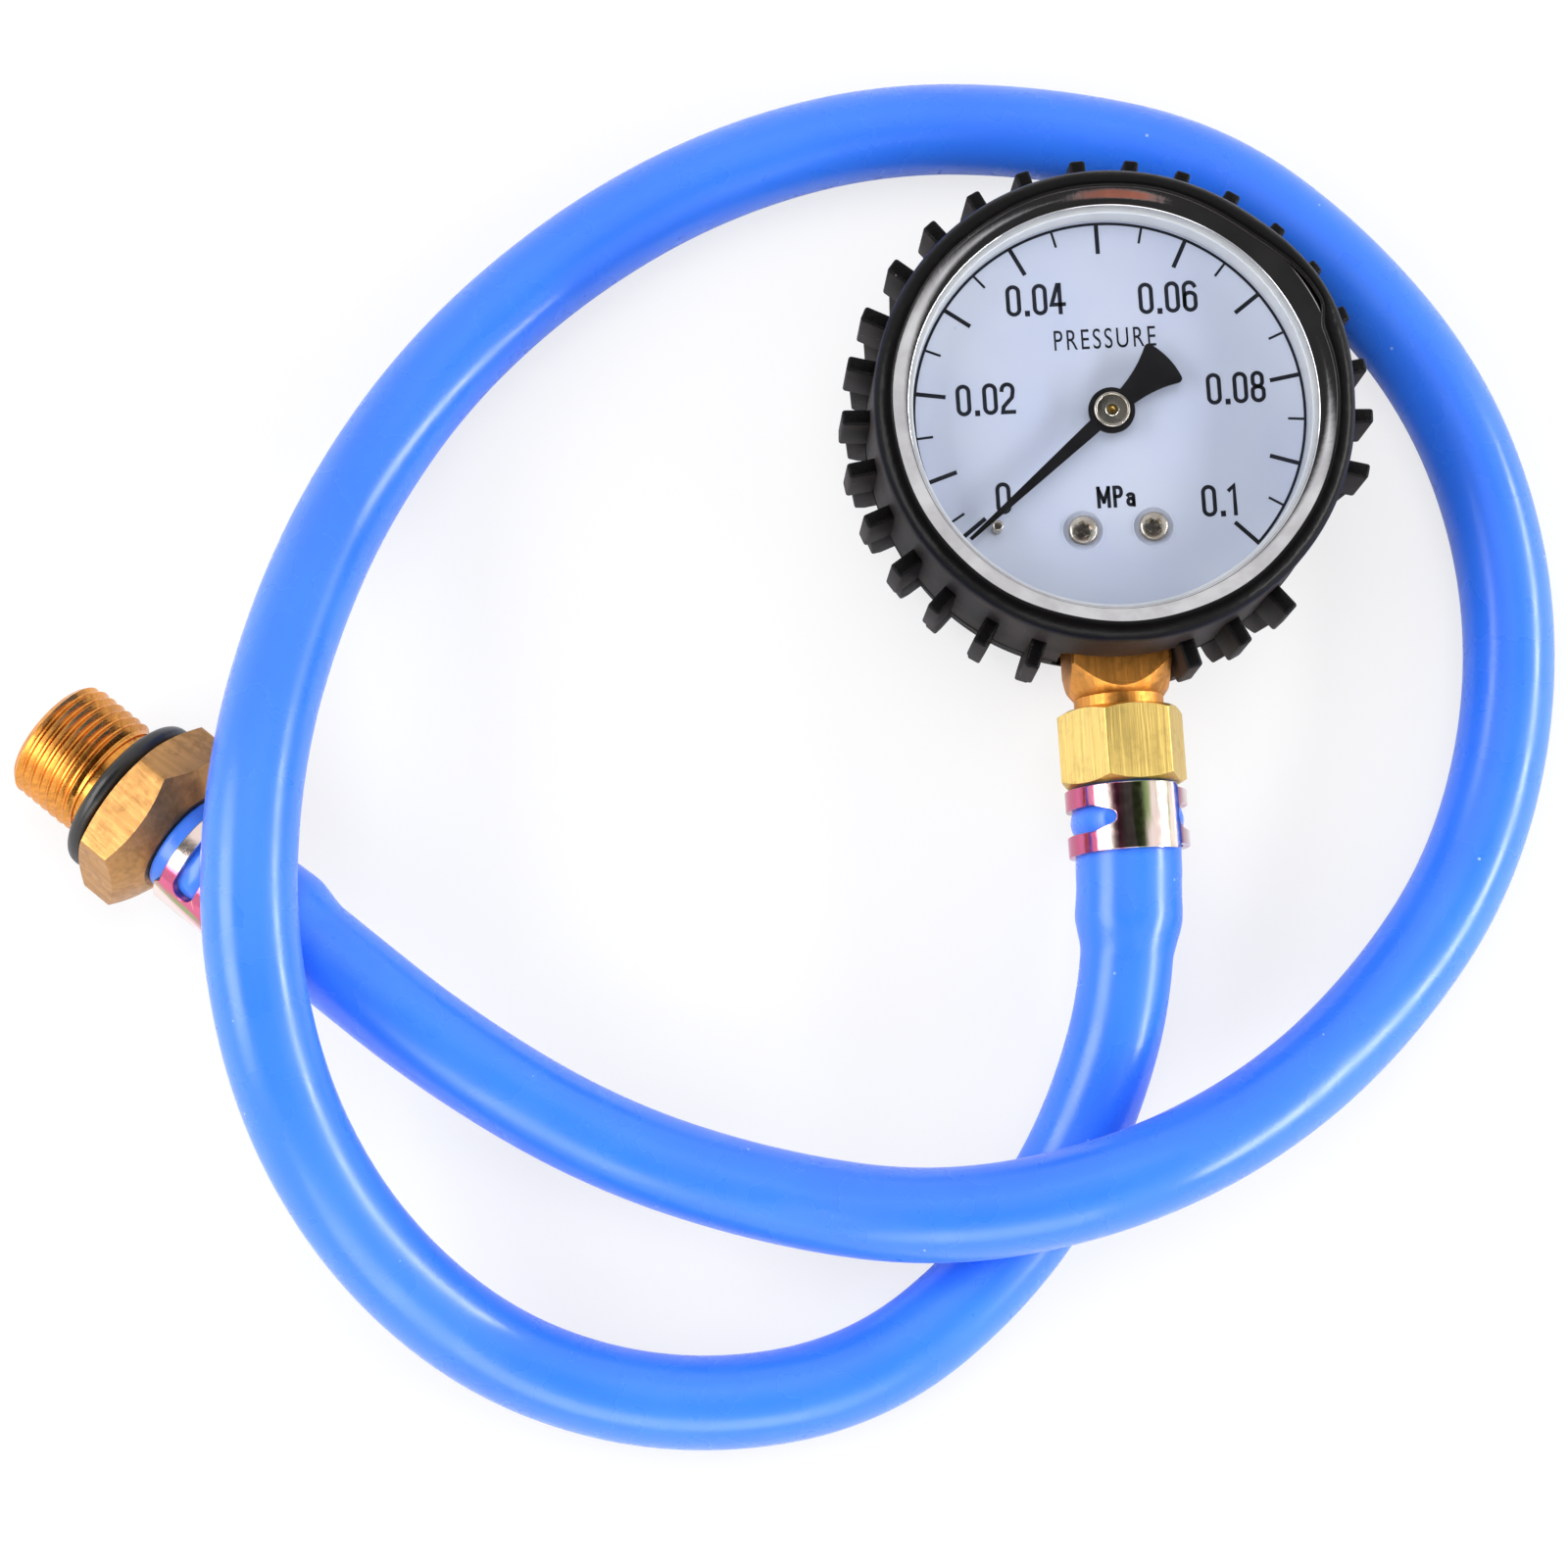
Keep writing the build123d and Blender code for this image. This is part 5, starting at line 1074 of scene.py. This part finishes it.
def glyph_strokes(mark, a, h):
    """Middle lines of a condensed glyph of half width a and half height h; True marks a closed line."""
    low, bar = h - a, 0.62 * h
    stem = bow((0, low), a, a, 180, 0)
    if mark == "0":
        return [(stem + bow((0, -low), a, a, 0, -180), True)]
    if mark == ".":
        return [([(0, -h), (0, -h + 0.12)], False)]
    if mark == "1":
        return [([(-0.75 * a, h - 0.75 * a), (0.1 * a, h), (0.1 * a, -h)], False)]
    if mark == "2":
        neck = [(a, low - 0.1 * h), (0.8 * a, 0.05 * h), (-0.85 * a, -bar)]
        return [(stem + neck + [(-a, -h), (a, -h)], False)]
    if mark == "4":
        upright = [(0.45 * a, -h), (0.45 * a, h), (0.1 * a, h)]
        return [(upright + [(-1.1 * a, -0.42 * h), (1.15 * a, -0.42 * h)], False)]
    if mark == "6":
        loop = bow((0, -0.05 * h), a, 0.8 * a, 180, 0) + bow((0, -low), a, a, 0, -180)
        return [(loop, True), (bow((0, low), a, a, 20, 180) + [(-a, -low)], False)]
    if mark == "8":
        upper = bow((0, low + 0.1 * a), 0.86 * a, 0.9 * a, 180, 0)
        upper += bow((0, 0.5 * h - 0.4 * a), 0.86 * a, 0.8 * a, 0, -180)
        lower = bow((0, -0.28 * h), a, 0.72 * a, 180, 0) + bow((0, -low), a, a, 0, -180)
        return [(upper, True), (lower, True)]
    if mark == "M":
        slants = [([(way * a, h - 0.1), (0, -0.5 * h)], False) for way in (-1, 1)]
        return [([(way * a, -h), (way * a, h)], False) for way in (-1, 1)] + slants
    if mark == "P":
        return [([(-a, -h), (-a, h)] + bow((0.1 * a, 0.5 * h), 0.9 * a, 0.5 * h, 90, -90) + [(-a, 0)], False)]
    hook = bow((0, 0.28 * h), 0.85 * a, 0.3 * h, 150, 0) + [(0.85 * a, -h)]
    bowl = bow((0, -0.5 * h), 0.85 * a, 0.46 * h, 0, 360, 20)[:-1]
    return [(hook, False), (bowl, True)]


def ribbon(points, width, closed):
    """A flat band of even width along a line."""
    bm = bmesh.new()
    spots = [Vector(point) for point in points]
    if not closed:
        spots[0] += (spots[0] - spots[1]).normalized() * width / 2
        spots[-1] += (spots[-1] - spots[-2]).normalized() * width / 2
    rows = []
    for k, spot in enumerate(spots):
        before = spots[k - 1] if k or closed else spot
        after = spots[(k + 1) % len(spots)] if k + 1 < len(spots) or closed else spot
        ways = [way.normalized() for way in (spot - before, after - spot) if way.length > 1e-6]
        along = sum(ways, Vector((0, 0))).normalized()
        miter = max(0.55, along.dot(ways[0]))
        side = Vector((-along.y, along.x)) * width / 2 / miter
        rows.append([bm.verts.new((*(spot + side), 0)), bm.verts.new((*(spot - side), 0))])
    pairs = list(zip(rows, rows[1:])) + ([(rows[-1], rows[0])] if closed else [])
    for first, second in pairs:
        bm.faces.new((first[0], first[1], second[1], second[0]))
    return bm


def sign(words, centre, height, weight):
    """Bold condensed figures and letters on the dial, drawn with a stroke of even width."""
    a, h = 0.232 * height - weight / 2, (height - weight) / 2
    widths = {".": 0.2 * a, "1": 0.75 * a, "M": 1.5 * a, "a": 0.9 * a}
    gap = weight * 1.66
    marks = [(mark, widths.get(mark, a)) for mark in words]
    x = -sum(2 * half + gap for _, half in marks) / 2 + gap / 2
    whole = bmesh.new()
    for mark, half in marks:
        reach = 1.5 * a if mark == "M" else a
        tall = 0.76 * h if mark == "a" else h
        for points, closed in glyph_strokes(mark, reach, tall):
            part = ribbon(points, weight * (1.25 if mark == "." else 1), closed)
            bmesh.ops.translate(part, vec=(x + half, tall - h, 0), verts=part.verts)
            joined(whole, part)
        x += 2 * half + gap
    bmesh.ops.recalc_face_normals(whole, faces=whole.faces)
    bmesh.ops.solidify(whole, geom=whole.faces[:], thickness=0.02)
    lift = DIAL_TOP + 0.018 - max(vertex.co.z for vertex in whole.verts)
    bmesh.ops.translate(whole, vec=(*centre, lift), verts=whole.verts)
    return whole


# Printed figures and unit: their words, centre, height and width of stroke
DIAL_MARKS = (
    ("0", (-15.6, -11.1), 4.5, 0.56),
    ("0.02", (-17.1, 3.0), 4.5, 0.56),
    ("0.04", (-9.2, 16.8), 4.5, 0.56),
    ("0.06", (9.3, 16.2), 4.5, 0.56),
    ("0.08", (17.8, 2.8), 4.5, 0.56),
    ("0.1", (14.5, -13.0), 4.5, 0.56),
    ("MPa", (0, -11.7), 3.1, 0.5),
)
SCREW_SPOTS = ((-4.9, -16.2), (4.9, -16.2))
SCREW_TWISTS = (18, 40)
PIN_DISTANCE, PIN_ANGLE = 22.9, -137.5


def dial_plate():
    """The dial, with a dimple and a pressed ring round each screw."""
    bore, radius, step = 2.0, 29.0, 0.27
    section = [(bore, DIAL_LOW), (bore, DIAL_TOP)] + [(bore + step * k, DIAL_TOP) for k in range(1, 101)]
    plate = ring(section + [(radius, DIAL_LOW)], steps=300)
    for vertex in plate.verts:
        if vertex.co.z < DIAL_TOP - 0.1:
            continue
        for x, y in SCREW_SPOTS:
            off = math.hypot(vertex.co.x - x, vertex.co.y - y)
            vertex.co.z -= 0.4 * (1 - eased((off - 2.3) / 0.4))
    crest = DIAL_TOP + 0.06
    rim = [(2.0, DIAL_TOP - 0.38), (2.45, DIAL_TOP - 0.36), (2.58, DIAL_TOP - 0.28), (2.66, DIAL_TOP - 0.06)]
    rim += [(2.71, crest - 0.02), (2.78, crest), (2.88, crest - 0.03), (3.05, DIAL_TOP - 0.02)]
    rim += [(3.05, DIAL_TOP - 0.2), (2.2, DIAL_TOP - 0.6)]
    for x, y in SCREW_SPOTS:
        joined(plate, moved(ring(rim, steps=96), Matrix.Translation((x, y, 0))))
    return plate


def scale_print(scale):
    """The printed line of the scale and its marks, longer and wider at each figure."""
    line, low, top = 0.4, DIAL_TOP - 0.004, DIAL_TOP + 0.02
    inner, outer = scale - line / 2, scale + line / 2
    band = [(inner, low), (outer, low), (outer, top), (inner, top)]
    first, last = 217.1, -45.0
    shape = moved(ring(band, steps=220, turn=first - last + 0.4), spin_by(last - 0.2))
    for k in range(21):
        reach, width = (2.4, 0.35) if k % 2 else (4.3, 0.6)
        tick = box((scale - reach, -width / 2, low), (outer, width / 2, top))
        joined(shape, moved(tick, spin_by(225 - 13.5 * k if k else first)))
    return shape


def cross_screw(twist):
    """A dial screw on Z, its cross turned by an angle."""
    low = DIAL_TOP - 0.25
    head = [(0, low - 1.9), (0.9, low - 1.9), (0.9, low), (1.9, low), (2.05, low + 0.12), (2.08, low + 0.45)]
    head += arc((1.45, low + 0.4), 0.62, 5, 62, 5)
    head += [(1.35, low + 1.06), (0.9, low + 1.15), (0, low + 1.2)]
    shape = spun(head, steps=64)
    for turn in (0, 90):
        slot = box((-1.46, -0.38, low + 0.4), (1.46, 0.38, low + 2))
        for vertex in slot.verts:
            if vertex.co.z < low + 1:
                vertex.co.x *= 0.6
        shape = cut(shape, moved(slot, spin_by(turn + twist)))
    return shape


class TESTER_OT_dial(bpy.types.Operator):
    """Dial with its dimples, scale, figures, screws and stop pin"""

    bl_idname = "tester.dial"
    bl_label = "Dial"

    def execute(self, context):
        colours = context.scene.tester_colours
        plate = dial_plate()
        piece(plate, "dial_plate", dial_finish(colours), replaces=["dial"], sharp=50)

        print_shape = scale_print(context.scene.tester_sizes.scale_radius / MM)
        for words, centre, height, weight in DIAL_MARKS:
            joined(print_shape, sign(words, centre, height, weight))
        joined(print_shape, letters("PRESSURE", centre=(0.1, 10.8), height=2.9, width=14.2))
        sheen = {"Specular IOR Level": 0.2}
        ink = plain_finish("Dial ink", colours.ink, paint(26, 28, 36), 0.4, 0.55, **sheen)
        piece(print_shape, "dial_print", ink)

        nickel = metal_finish("Screw steel", colours.nickel, paint(150, 138, 122), 0.18, 0.32, dents=0.022)
        for number, (spot, twist) in enumerate(zip(SCREW_SPOTS, SCREW_TWISTS), start=1):
            screw = moved(cross_screw(twist), Matrix.Translation((*spot, 0)))
            node = f"dial_screw_{number}"
            piece(screw, f"cross_screw_{number}", nickel, replaces=[node])
        radius, low, shoulder, edge = 0.75, 25.0, 28.85, 0.25
        pin = [(0, low), (radius, low), (radius, shoulder)]
        pin += arc((radius - edge, shoulder), edge, 0, 90, 4) + [(0, shoulder + edge)]
        turn = math.radians(PIN_ANGLE)
        spot = (PIN_DISTANCE * math.cos(turn), PIN_DISTANCE * math.sin(turn), 0)
        pin = moved(spun(pin, steps=40), Matrix.Translation(spot))
        piece(pin, "stop_peg", nickel, replaces=["stop_pin"])
        return {"FINISHED"}


class TESTER_OT_pointer(bpy.types.Operator):
    """Pointer's cap with its rim, and the finish of the pointer"""

    bl_idname = "tester.pointer"
    bl_label = "Pointer"

    def execute(self, context):
        colours = context.scene.tester_colours
        foot, low, rim, bore = 27.6, 28.4, 29.1, 0.74
        section = [(bore, foot), (1.3, foot), (1.3, low), (2.4, low), (2.5, low + 0.1), (2.5, rim - 0.16)]
        section += arc((2.28, rim - 0.2), 0.2, 10, 170, 7)
        section += [(2.02, rim - 0.17), (0.95, rim - 0.17), (0.86, rim - 0.1), (bore, rim - 0.1)]
        nickel = metal_finish("Cap nickel", colours.nickel, paint(176, 166, 150), 0.14, 0.3, lines=0.01)
        cap = ring(section, steps=96)
        piece(cap, "turned_cap", nickel, "pointer_body", replaces=["pointer_cap"])
        dress("pointer", pointer_finish(colours), bevel=0.06)
        return {"FINISHED"}


def dress(node, material, bevel=0.0):
    """Gives a CAD node a finish, smooth between its sharp edges, which may be eased."""
    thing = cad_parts[node]
    thing.data.materials.clear()
    thing.data.materials.append(material)
    thing.data.shade_smooth()
    weld = thing.modifiers.new("weld", "WELD")
    weld.merge_threshold = 1e-6
    if bevel:
        ease = thing.modifiers.new("ease", "BEVEL")
        ease.width, ease.segments, ease.limit_method = bevel * MM, 2, "ANGLE"
        ease.angle_limit = math.radians(40)
    split = thing.modifiers.new("split", "EDGE_SPLIT")
    split.split_angle = math.radians(32)


def hexagon(flats, length, turn, section):
    """A hexagon along Z, turned to a section at its ends, with its long edges eased."""
    bm = bmesh.new()
    bmesh.ops.create_circle(bm, cap_ends=True, segments=6, radius=flats / math.sqrt(3))
    top = bmesh.ops.extrude_face_region(bm, geom=bm.faces[:])
    raised = [item for item in top["geom"] if isinstance(item, bmesh.types.BMVert)]
    bmesh.ops.translate(bm, vec=(0, 0, length), verts=raised)
    bmesh.ops.recalc_face_normals(bm, faces=bm.faces)
    tall = [e for e in bm.edges if abs(e.verts[0].co.z - e.verts[1].co.z) > length / 2]
    rounded(bm, 0.16, tall, segments=3)
    return cut(moved(bm, spin_by(turn)), spun(section, steps=180), "INTERSECT")


def barbed(start):
    """Section of a barbed tube that starts in a fitting."""
    step = BARB_LENGTH / BARB_COUNT
    section = [(BARB_BORE, start), (BARB_ROOT, start)]
    for k in range(BARB_COUNT):
        crest = k * step + step / 3
        section += [(BARB_ROOT, crest - 0.05), (BARB_CREST, crest)]
        section += [(BARB_CREST, crest + 0.6), (BARB_ROOT, (k + 1) * step)]
    return section + [(BARB_BORE, BARB_LENGTH)]


class TESTER_OT_stem(bpy.types.Operator):
    """Square stem block and the nut of the hose fitting"""

    bl_idname = "tester.stem"
    bl_label = "Stem and nut"

    def execute(self, context):
        colours = context.scene.tester_colours
        flats = context.scene.tester_sizes.nut_flats / MM
        block = brass_finish("Stem brass", colours.block, colours.stain, stains=0.35, low=0.4, high=0.54)
        dress("stem_block", block, bevel=0.12)
        corner, face, bore, depth = flats / math.sqrt(3), flats / 2 - 0.3, 6.63, NUT_LENGTH - 1.3
        cone = (corner - face) * math.tan(math.radians(30))
        turning = [(bore, 0), (face, 0), (corner + 0.1, cone), (corner + 0.1, NUT_LENGTH - cone)]
        turning += [(face, NUT_LENGTH), (BARB_BORE, NUT_LENGTH), (BARB_BORE, depth), (bore, depth), (bore, 0)]
        nut = hexagon(flats, NUT_LENGTH, -10.5, turning)
        tube = moved(ring(barbed(-0.8), steps=72), Matrix.Translation((0, 0, NUT_LENGTH)))
        joined(nut, tube)
        brass = brass_finish(
            "Nut brass", colours.nut, colours.stain, stains=0.15, low=0.42, high=0.56, scale=2600.0
        )
        moved(nut, stem_place(NUT_START))
        piece(nut, "hose_nut", brass, replaces=["gauge_fitting"], sharp=20)
        washer = plain_finish("Washer", paint(30, 29, 28), paint(40, 38, 36), 0.5, 0.7)
        dress("sealing_washer", washer)
        return {"FINISHED"}


def between(table, at):
    """A value from a table of (place, value) pairs, straight between them and level beyond them."""
    if at <= table[0][0]:
        return table[0][1]
    for (low, first), (high, second) in zip(table, table[1:]):
        if at <= high:
            return first + (second - first) * (at - low) / max(high - low, 1e-9)
    return table[-1][1]


def round_end(start, length, radius, way=1):
    """Half widths of a window's rounded end; way is 1 where the window opens, -1 where it closes."""
    turns = [math.radians(15 * k) for k in range(7)]
    return [(start + way * length * (1 - math.cos(turn)), radius * math.sin(turn)) for turn in turns][::way]


def clamp_band(sizes):
    """A band clamp round Z: two strips, joined wherever there is no window, bent round and thickened."""
    metal, width = sizes.clamp_metal / MM, sizes.clamp_width / MM
    middle = CLAMP_BORE + metal / 2
    unit = math.radians(1) * middle
    inner, outer, gap = CLAMP_TONGUE / 2, width / 2, CLAMP_WINDOW / 2
    waist = outer - CLAMP_WAIST
    reach = FORK_END * unit + CLAMP_EAR
    shoulder, step_up = TONGUE_HALF * unit, TONGUE_START * unit
    widths = [(-reach, inner - 0.4), (-reach + 0.4, inner), (shoulder - 0.4, inner)]
    widths += [(shoulder - 0.1, inner + 0.2), (shoulder + 0.05, waist - 0.7)]
    widths += [(shoulder + 0.3, waist - 0.15), (shoulder + 0.7, waist)]
    widths += [(step_up - 0.3, waist), (step_up + 0.3, outer), (reach - 0.5, outer), (reach, outer - 0.5)]
    gaps = round_end(TONGUE_CLOSE * unit, gap, gap) + round_end(step_up - 0.1, gap, gap, -1)
    gaps += round_end(FORK_START * unit, 0.9, 0.95)[:6] + [(FORK_START * unit + 3.4, gap)]
    gaps += round_end(FORK_END * unit + 1.4, 0.8, gap, -1)
    bend = 0.9
    limit = FORK_END * unit - bend
    count = int(2 * reach / (3.0 * unit))
    spots = [place for place, _ in widths + gaps] + [reach * (2 * k / count - 1) for k in range(count + 1)]
    spots += [side * (limit + bend * math.pi / 2 * k / 7) for k in range(8) for side in (-1, 1)]
    spots.sort()
    spots = [spots[0]] + [spot for before, spot in zip(spots, spots[1:]) if spot - before > 0.03]
    bm = bmesh.new()
    rows = []
    for spot in spots:
        past, side = abs(spot) - limit, 1 if spot > 0 else -1
        angle, radius = min(abs(spot), limit) / middle * side, middle
        if past > 0:
            # The ear leaves the band in a small bend and stands out from it
            roll = min(past / bend, math.pi / 2)
            angle += side * bend * math.sin(roll) / middle
            radius += bend * (1 - math.cos(roll)) + max(0.0, past - bend * math.pi / 2)
        half, hole = between(widths, spot), between(gaps, spot)
        hole = 0.0 if hole < 0.02 else hole
        x, y = radius * math.cos(angle), radius * math.sin(angle)
        rows.append([bm.verts.new((x, y, outer + across)) for across in (-half, -hole, hole, half)])
    for first, second in zip(rows, rows[1:]):
        for k in (0, 2):
            bm.faces.new((first[k], second[k], second[k + 1], first[k + 1]))
    bmesh.ops.remove_doubles(bm, verts=bm.verts, dist=1e-3)
    bmesh.ops.recalc_face_normals(bm, faces=bm.faces)
    bmesh.ops.solidify(bm, geom=bm.faces[:], thickness=metal)
    # Solidify works to one side: bring the band back to its middle
    radii = [math.hypot(v.co.x, v.co.y) for v in bm.verts if v.co.x > 0]
    shift = middle - (min(radii) + max(radii)) / 2
    for vertex in bm.verts:
        far = math.hypot(vertex.co.x, vertex.co.y)
        if far < middle + metal:
            widen(vertex, (far + shift) / far)
    rim = [e for e in bm.edges if len(e.link_faces) == 2 and e.calc_face_angle() > math.radians(60)]
    return rounded(bm, 0.12, rim, segments=2)


class TESTER_OT_clamps(bpy.types.Operator):
    """The two spring band clamps"""

    bl_idname = "tester.clamps"
    bl_label = "Clamps"

    def execute(self, context):
        sizes, colours = context.scene.tester_sizes, context.scene.tester_colours
        near = moved(clamp_band(sizes), stem_place(NUT_START + NUT_LENGTH + GAUGE_CLAMP_FREE))
        zinc = clamp_finish(colours, "Clamp zinc", (0, 0, 0))
        piece(near, "gauge_band", zinc, replaces=["gauge_clamp"], sharp=20)
        far = moved(clamp_band(sizes), spin_by(END_CLAMP_TURN))
        moved(far, end_place(END_HEX_LENGTH + END_CLAMP_FREE))
        zinc = clamp_finish(colours, "Adapter clamp zinc", END_TURN)
        piece(far, "adapter_band", zinc, replaces=["end_clamp"], sharp=20)
        return {"FINISHED"}


def thread(sizes, start, length, root):
    """A screw thread along Z, chamfered at its far end and run out at its near end."""
    pitch, crest = sizes.thread_pitch / MM, sizes.thread_radius / MM
    turns = length / pitch + 1
    flank = [(root, 0), (root, 0.12), (crest - 0.06, pitch / 2 - 0.1), (crest, pitch / 2 - 0.03)]
    section = flank + [(radius, pitch - height) for radius, height in reversed(flank)]
    bm = spun(section, steps=int(turns * 72), turn=360 * turns, rise=pitch * turns)
    bmesh.ops.translate(bm, vec=(0, 0, -pitch), verts=bm.verts)
    for vertex in bm.verts:
        far = math.hypot(vertex.co.x, vertex.co.y)
        height = min(max(vertex.co.z, 0.0), length)
        limit = min(crest, root - 0.22 + height, root - 0.35 + (length - height) * 0.9)
        limit = max(limit, root - 0.3)
        if far > limit:
            widen(vertex, limit / far)
        vertex.co.z = height
    bmesh.ops.translate(bm, vec=(0, 0, start), verts=bm.verts)
    return bm


def adapter_body(flats):
    """The adapter's hexagon with its cone, bored through, and its barbed tube."""
    corner, face = flats / math.sqrt(3), flats / 2 - 0.35
    cone = (corner - face) * math.tan(math.radians(22))
    turning = [(0, 0), (face, 0), (corner + 0.1, cone), (corner + 0.1, END_HEX_CORNER)]
    turning += [(8.0, END_HEX_LENGTH), (0, END_HEX_LENGTH)]
    body = hexagon(flats, END_HEX_LENGTH, END_ROLL, turning)
    body = cut(body, spun([(0, -2), (BARB_BORE, -2), (BARB_BORE, 12), (0, 12)], steps=48))
    tube = moved(ring(barbed(-1.0), steps=72), Matrix.Translation((0, 0, END_HEX_LENGTH)))
    return joined(body, tube)


def adapter_screw(sizes):
    """The threaded end of the adapter, with its collar and the groove of the O-ring."""
    crest = sizes.thread_radius / MM
    root, seat, groove, length = crest - 0.62, 3.2, 1.6, 11.0
    neck, far_end = -(seat + groove), -(seat + groove + length)
    core = [(BARB_BORE, 0.5), (8.6, 0.5), (crest, 0.0), (crest, -seat + 0.1), (crest - 0.1, -seat)]
    core += [(8.05, -seat), (7.95, -seat - 0.2), (7.95, neck + 0.2), (8.0, neck)]
    core += [(root - 0.04, neck - 0.1)]
    core += [(root - 0.04, far_end + 0.7), (root - 0.5, far_end + 0.05), (root - 0.55, far_end)]
    core += [(3.2, far_end), (BARB_BORE, far_end + 0.4)]
    return joined(ring(core, steps=144), thread(sizes, far_end, length, root))


def oring_shape(crest):
    """The O-ring against the hexagon, with the seam of its mould, a little out of round."""
    thick, seam, points = 1.4, 0.05, 32
    middle = (crest + 0.05 + thick, -1.5)
    loop = []
    for k in range(points):
        turn, far = 2 * math.pi * k / points, thick + (seam if k == 1 else 0.0)
        loop.append((middle[0] + far * math.cos(turn), middle[1] + far * math.sin(turn)))
    oring = ring(loop, steps=160)
    for vertex in oring.verts:
        turn = math.atan2(vertex.co.y, vertex.co.x)
        widen(vertex, 1 + 0.003 * math.sin(2 * turn))
    return oring


class TESTER_OT_adapter(bpy.types.Operator):
    """Threaded adapter with its hexagon, cone and O-ring"""

    bl_idname = "tester.adapter"
    bl_label = "Adapter"

    def execute(self, context):
        sizes, colours = context.scene.tester_sizes, context.scene.tester_colours
        body = moved(adapter_body(sizes.end_flats / MM), end_place(0))
        grain = {"turn": END_TURN, "stains": 0.3, "low": 0.38, "high": 0.52, "scale": 1100.0}
        brass = brass_finish("Adapter brass", colours.adapter, colours.stain, **grain)
        body = piece(body, "adapter_hexagon", brass, replaces=["end_adapter"], sharp=20)

        screw = moved(adapter_screw(sizes), end_place(0))
        grain = {"turn": END_TURN, "drawn": 0.003, "stains": 0.25, "low": 0.22, "high": 0.34}
        orange = brass_finish("Thread brass", colours.thread, colours.stain, **grain)
        screw = piece(screw, "adapter_thread", orange, sharp=24)

        oring = moved(oring_shape(sizes.thread_radius / MM), end_place(0))
        black = paint(38, 37, 37)
        rubber = plain_finish("O-ring rubber", colours.oring, black, 0.3, 0.46, grain=700.0, height=0.03)
        oring = piece(oring, "sealing_ring", rubber, replaces=["end_oring"])

        return {"FINISHED"}


class TESTER_OT_inside(bpy.types.Operator):
    """Finishes of the case, the tube and the movement behind the dial"""

    bl_idname = "tester.inside"
    bl_label = "Inside"

    def execute(self, context):
        colours = context.scene.tester_colours
        steel = metal_finish("Case steel", colours.steel, paint(170, 170, 174), 0.3, 0.45)
        screws = metal_finish("Plated screws", colours.nickel, paint(160, 150, 134), 0.2, 0.36)
        brass = brass_finish("Movement brass", paint(212, 172, 92), colours.stain, drawn=0.01, stains=0.2)
        tube = brass_finish("Tube brass", paint(206, 150, 84), colours.stain, drawn=0.006, stains=0.35)
        spring = metal_finish("Spring bronze", paint(206, 160, 96), paint(180, 130, 76), 0.2, 0.34)
        finishes = {
            steel: ("case",),
            screws: ("case_screw_1", "case_screw_2", *(f"movement_screw_{k}" for k in range(1, 5))),
            tube: ("bourdon_tube", "tube_tip"),
            spring: ("hairspring",),
        }
        for material, nodes in finishes.items():
            for node in nodes:
                dress(node, material)
        kept = ("restrictor", "back_plate", "front_plate", "sector", "sector_arbor", "link", "link_pin")
        kept += ("hairspring_collet", "hairspring_stud", "dial_post_1", "dial_post_2", "pinion_arbor")
        for node in (*kept, *(f"pillar_{k}" for k in range(1, 5))):
            dress(node, brass)
        return {"FINISHED"}


PARTS = (
    TESTER_OT_stage,
    TESTER_OT_hose,
    TESTER_OT_boot,
    TESTER_OT_front,
    TESTER_OT_dial,
    TESTER_OT_pointer,
    TESTER_OT_stem,
    TESTER_OT_clamps,
    TESTER_OT_adapter,
    TESTER_OT_inside,
)


class TESTER_PT_panel(bpy.types.Panel):
    """Lists the pieces of the tester, with their sizes and colours"""

    bl_idname = "TESTER_PT_panel"
    bl_label = "Back pressure tester"
    bl_space_type = "VIEW_3D"
    bl_region_type = "UI"
    bl_category = "Tester"

    def draw(self, context):
        layout = self.layout
        for part in PARTS:
            layout.operator(part.bl_idname)
        for group in (context.scene.tester_sizes, context.scene.tester_colours):
            column = layout.column()
            for name in group.__annotations__:
                column.prop(group, name)


CLASSES = (TesterSizes, TesterColours, *PARTS, TESTER_PT_panel)


def register():
    for item in CLASSES:
        bpy.utils.register_class(item)
    bpy.types.Scene.tester_sizes = PointerProperty(type=TesterSizes)
    bpy.types.Scene.tester_colours = PointerProperty(type=TesterColours)


def unregister():
    del bpy.types.Scene.tester_colours
    del bpy.types.Scene.tester_sizes
    for item in reversed(CLASSES):
        bpy.utils.unregister_class(item)


def main():
    register()
    for part in PARTS:
        area, name = part.bl_idname.split(".")
        getattr(getattr(bpy.ops, area), name)()


if __name__ == "__main__":
    main()
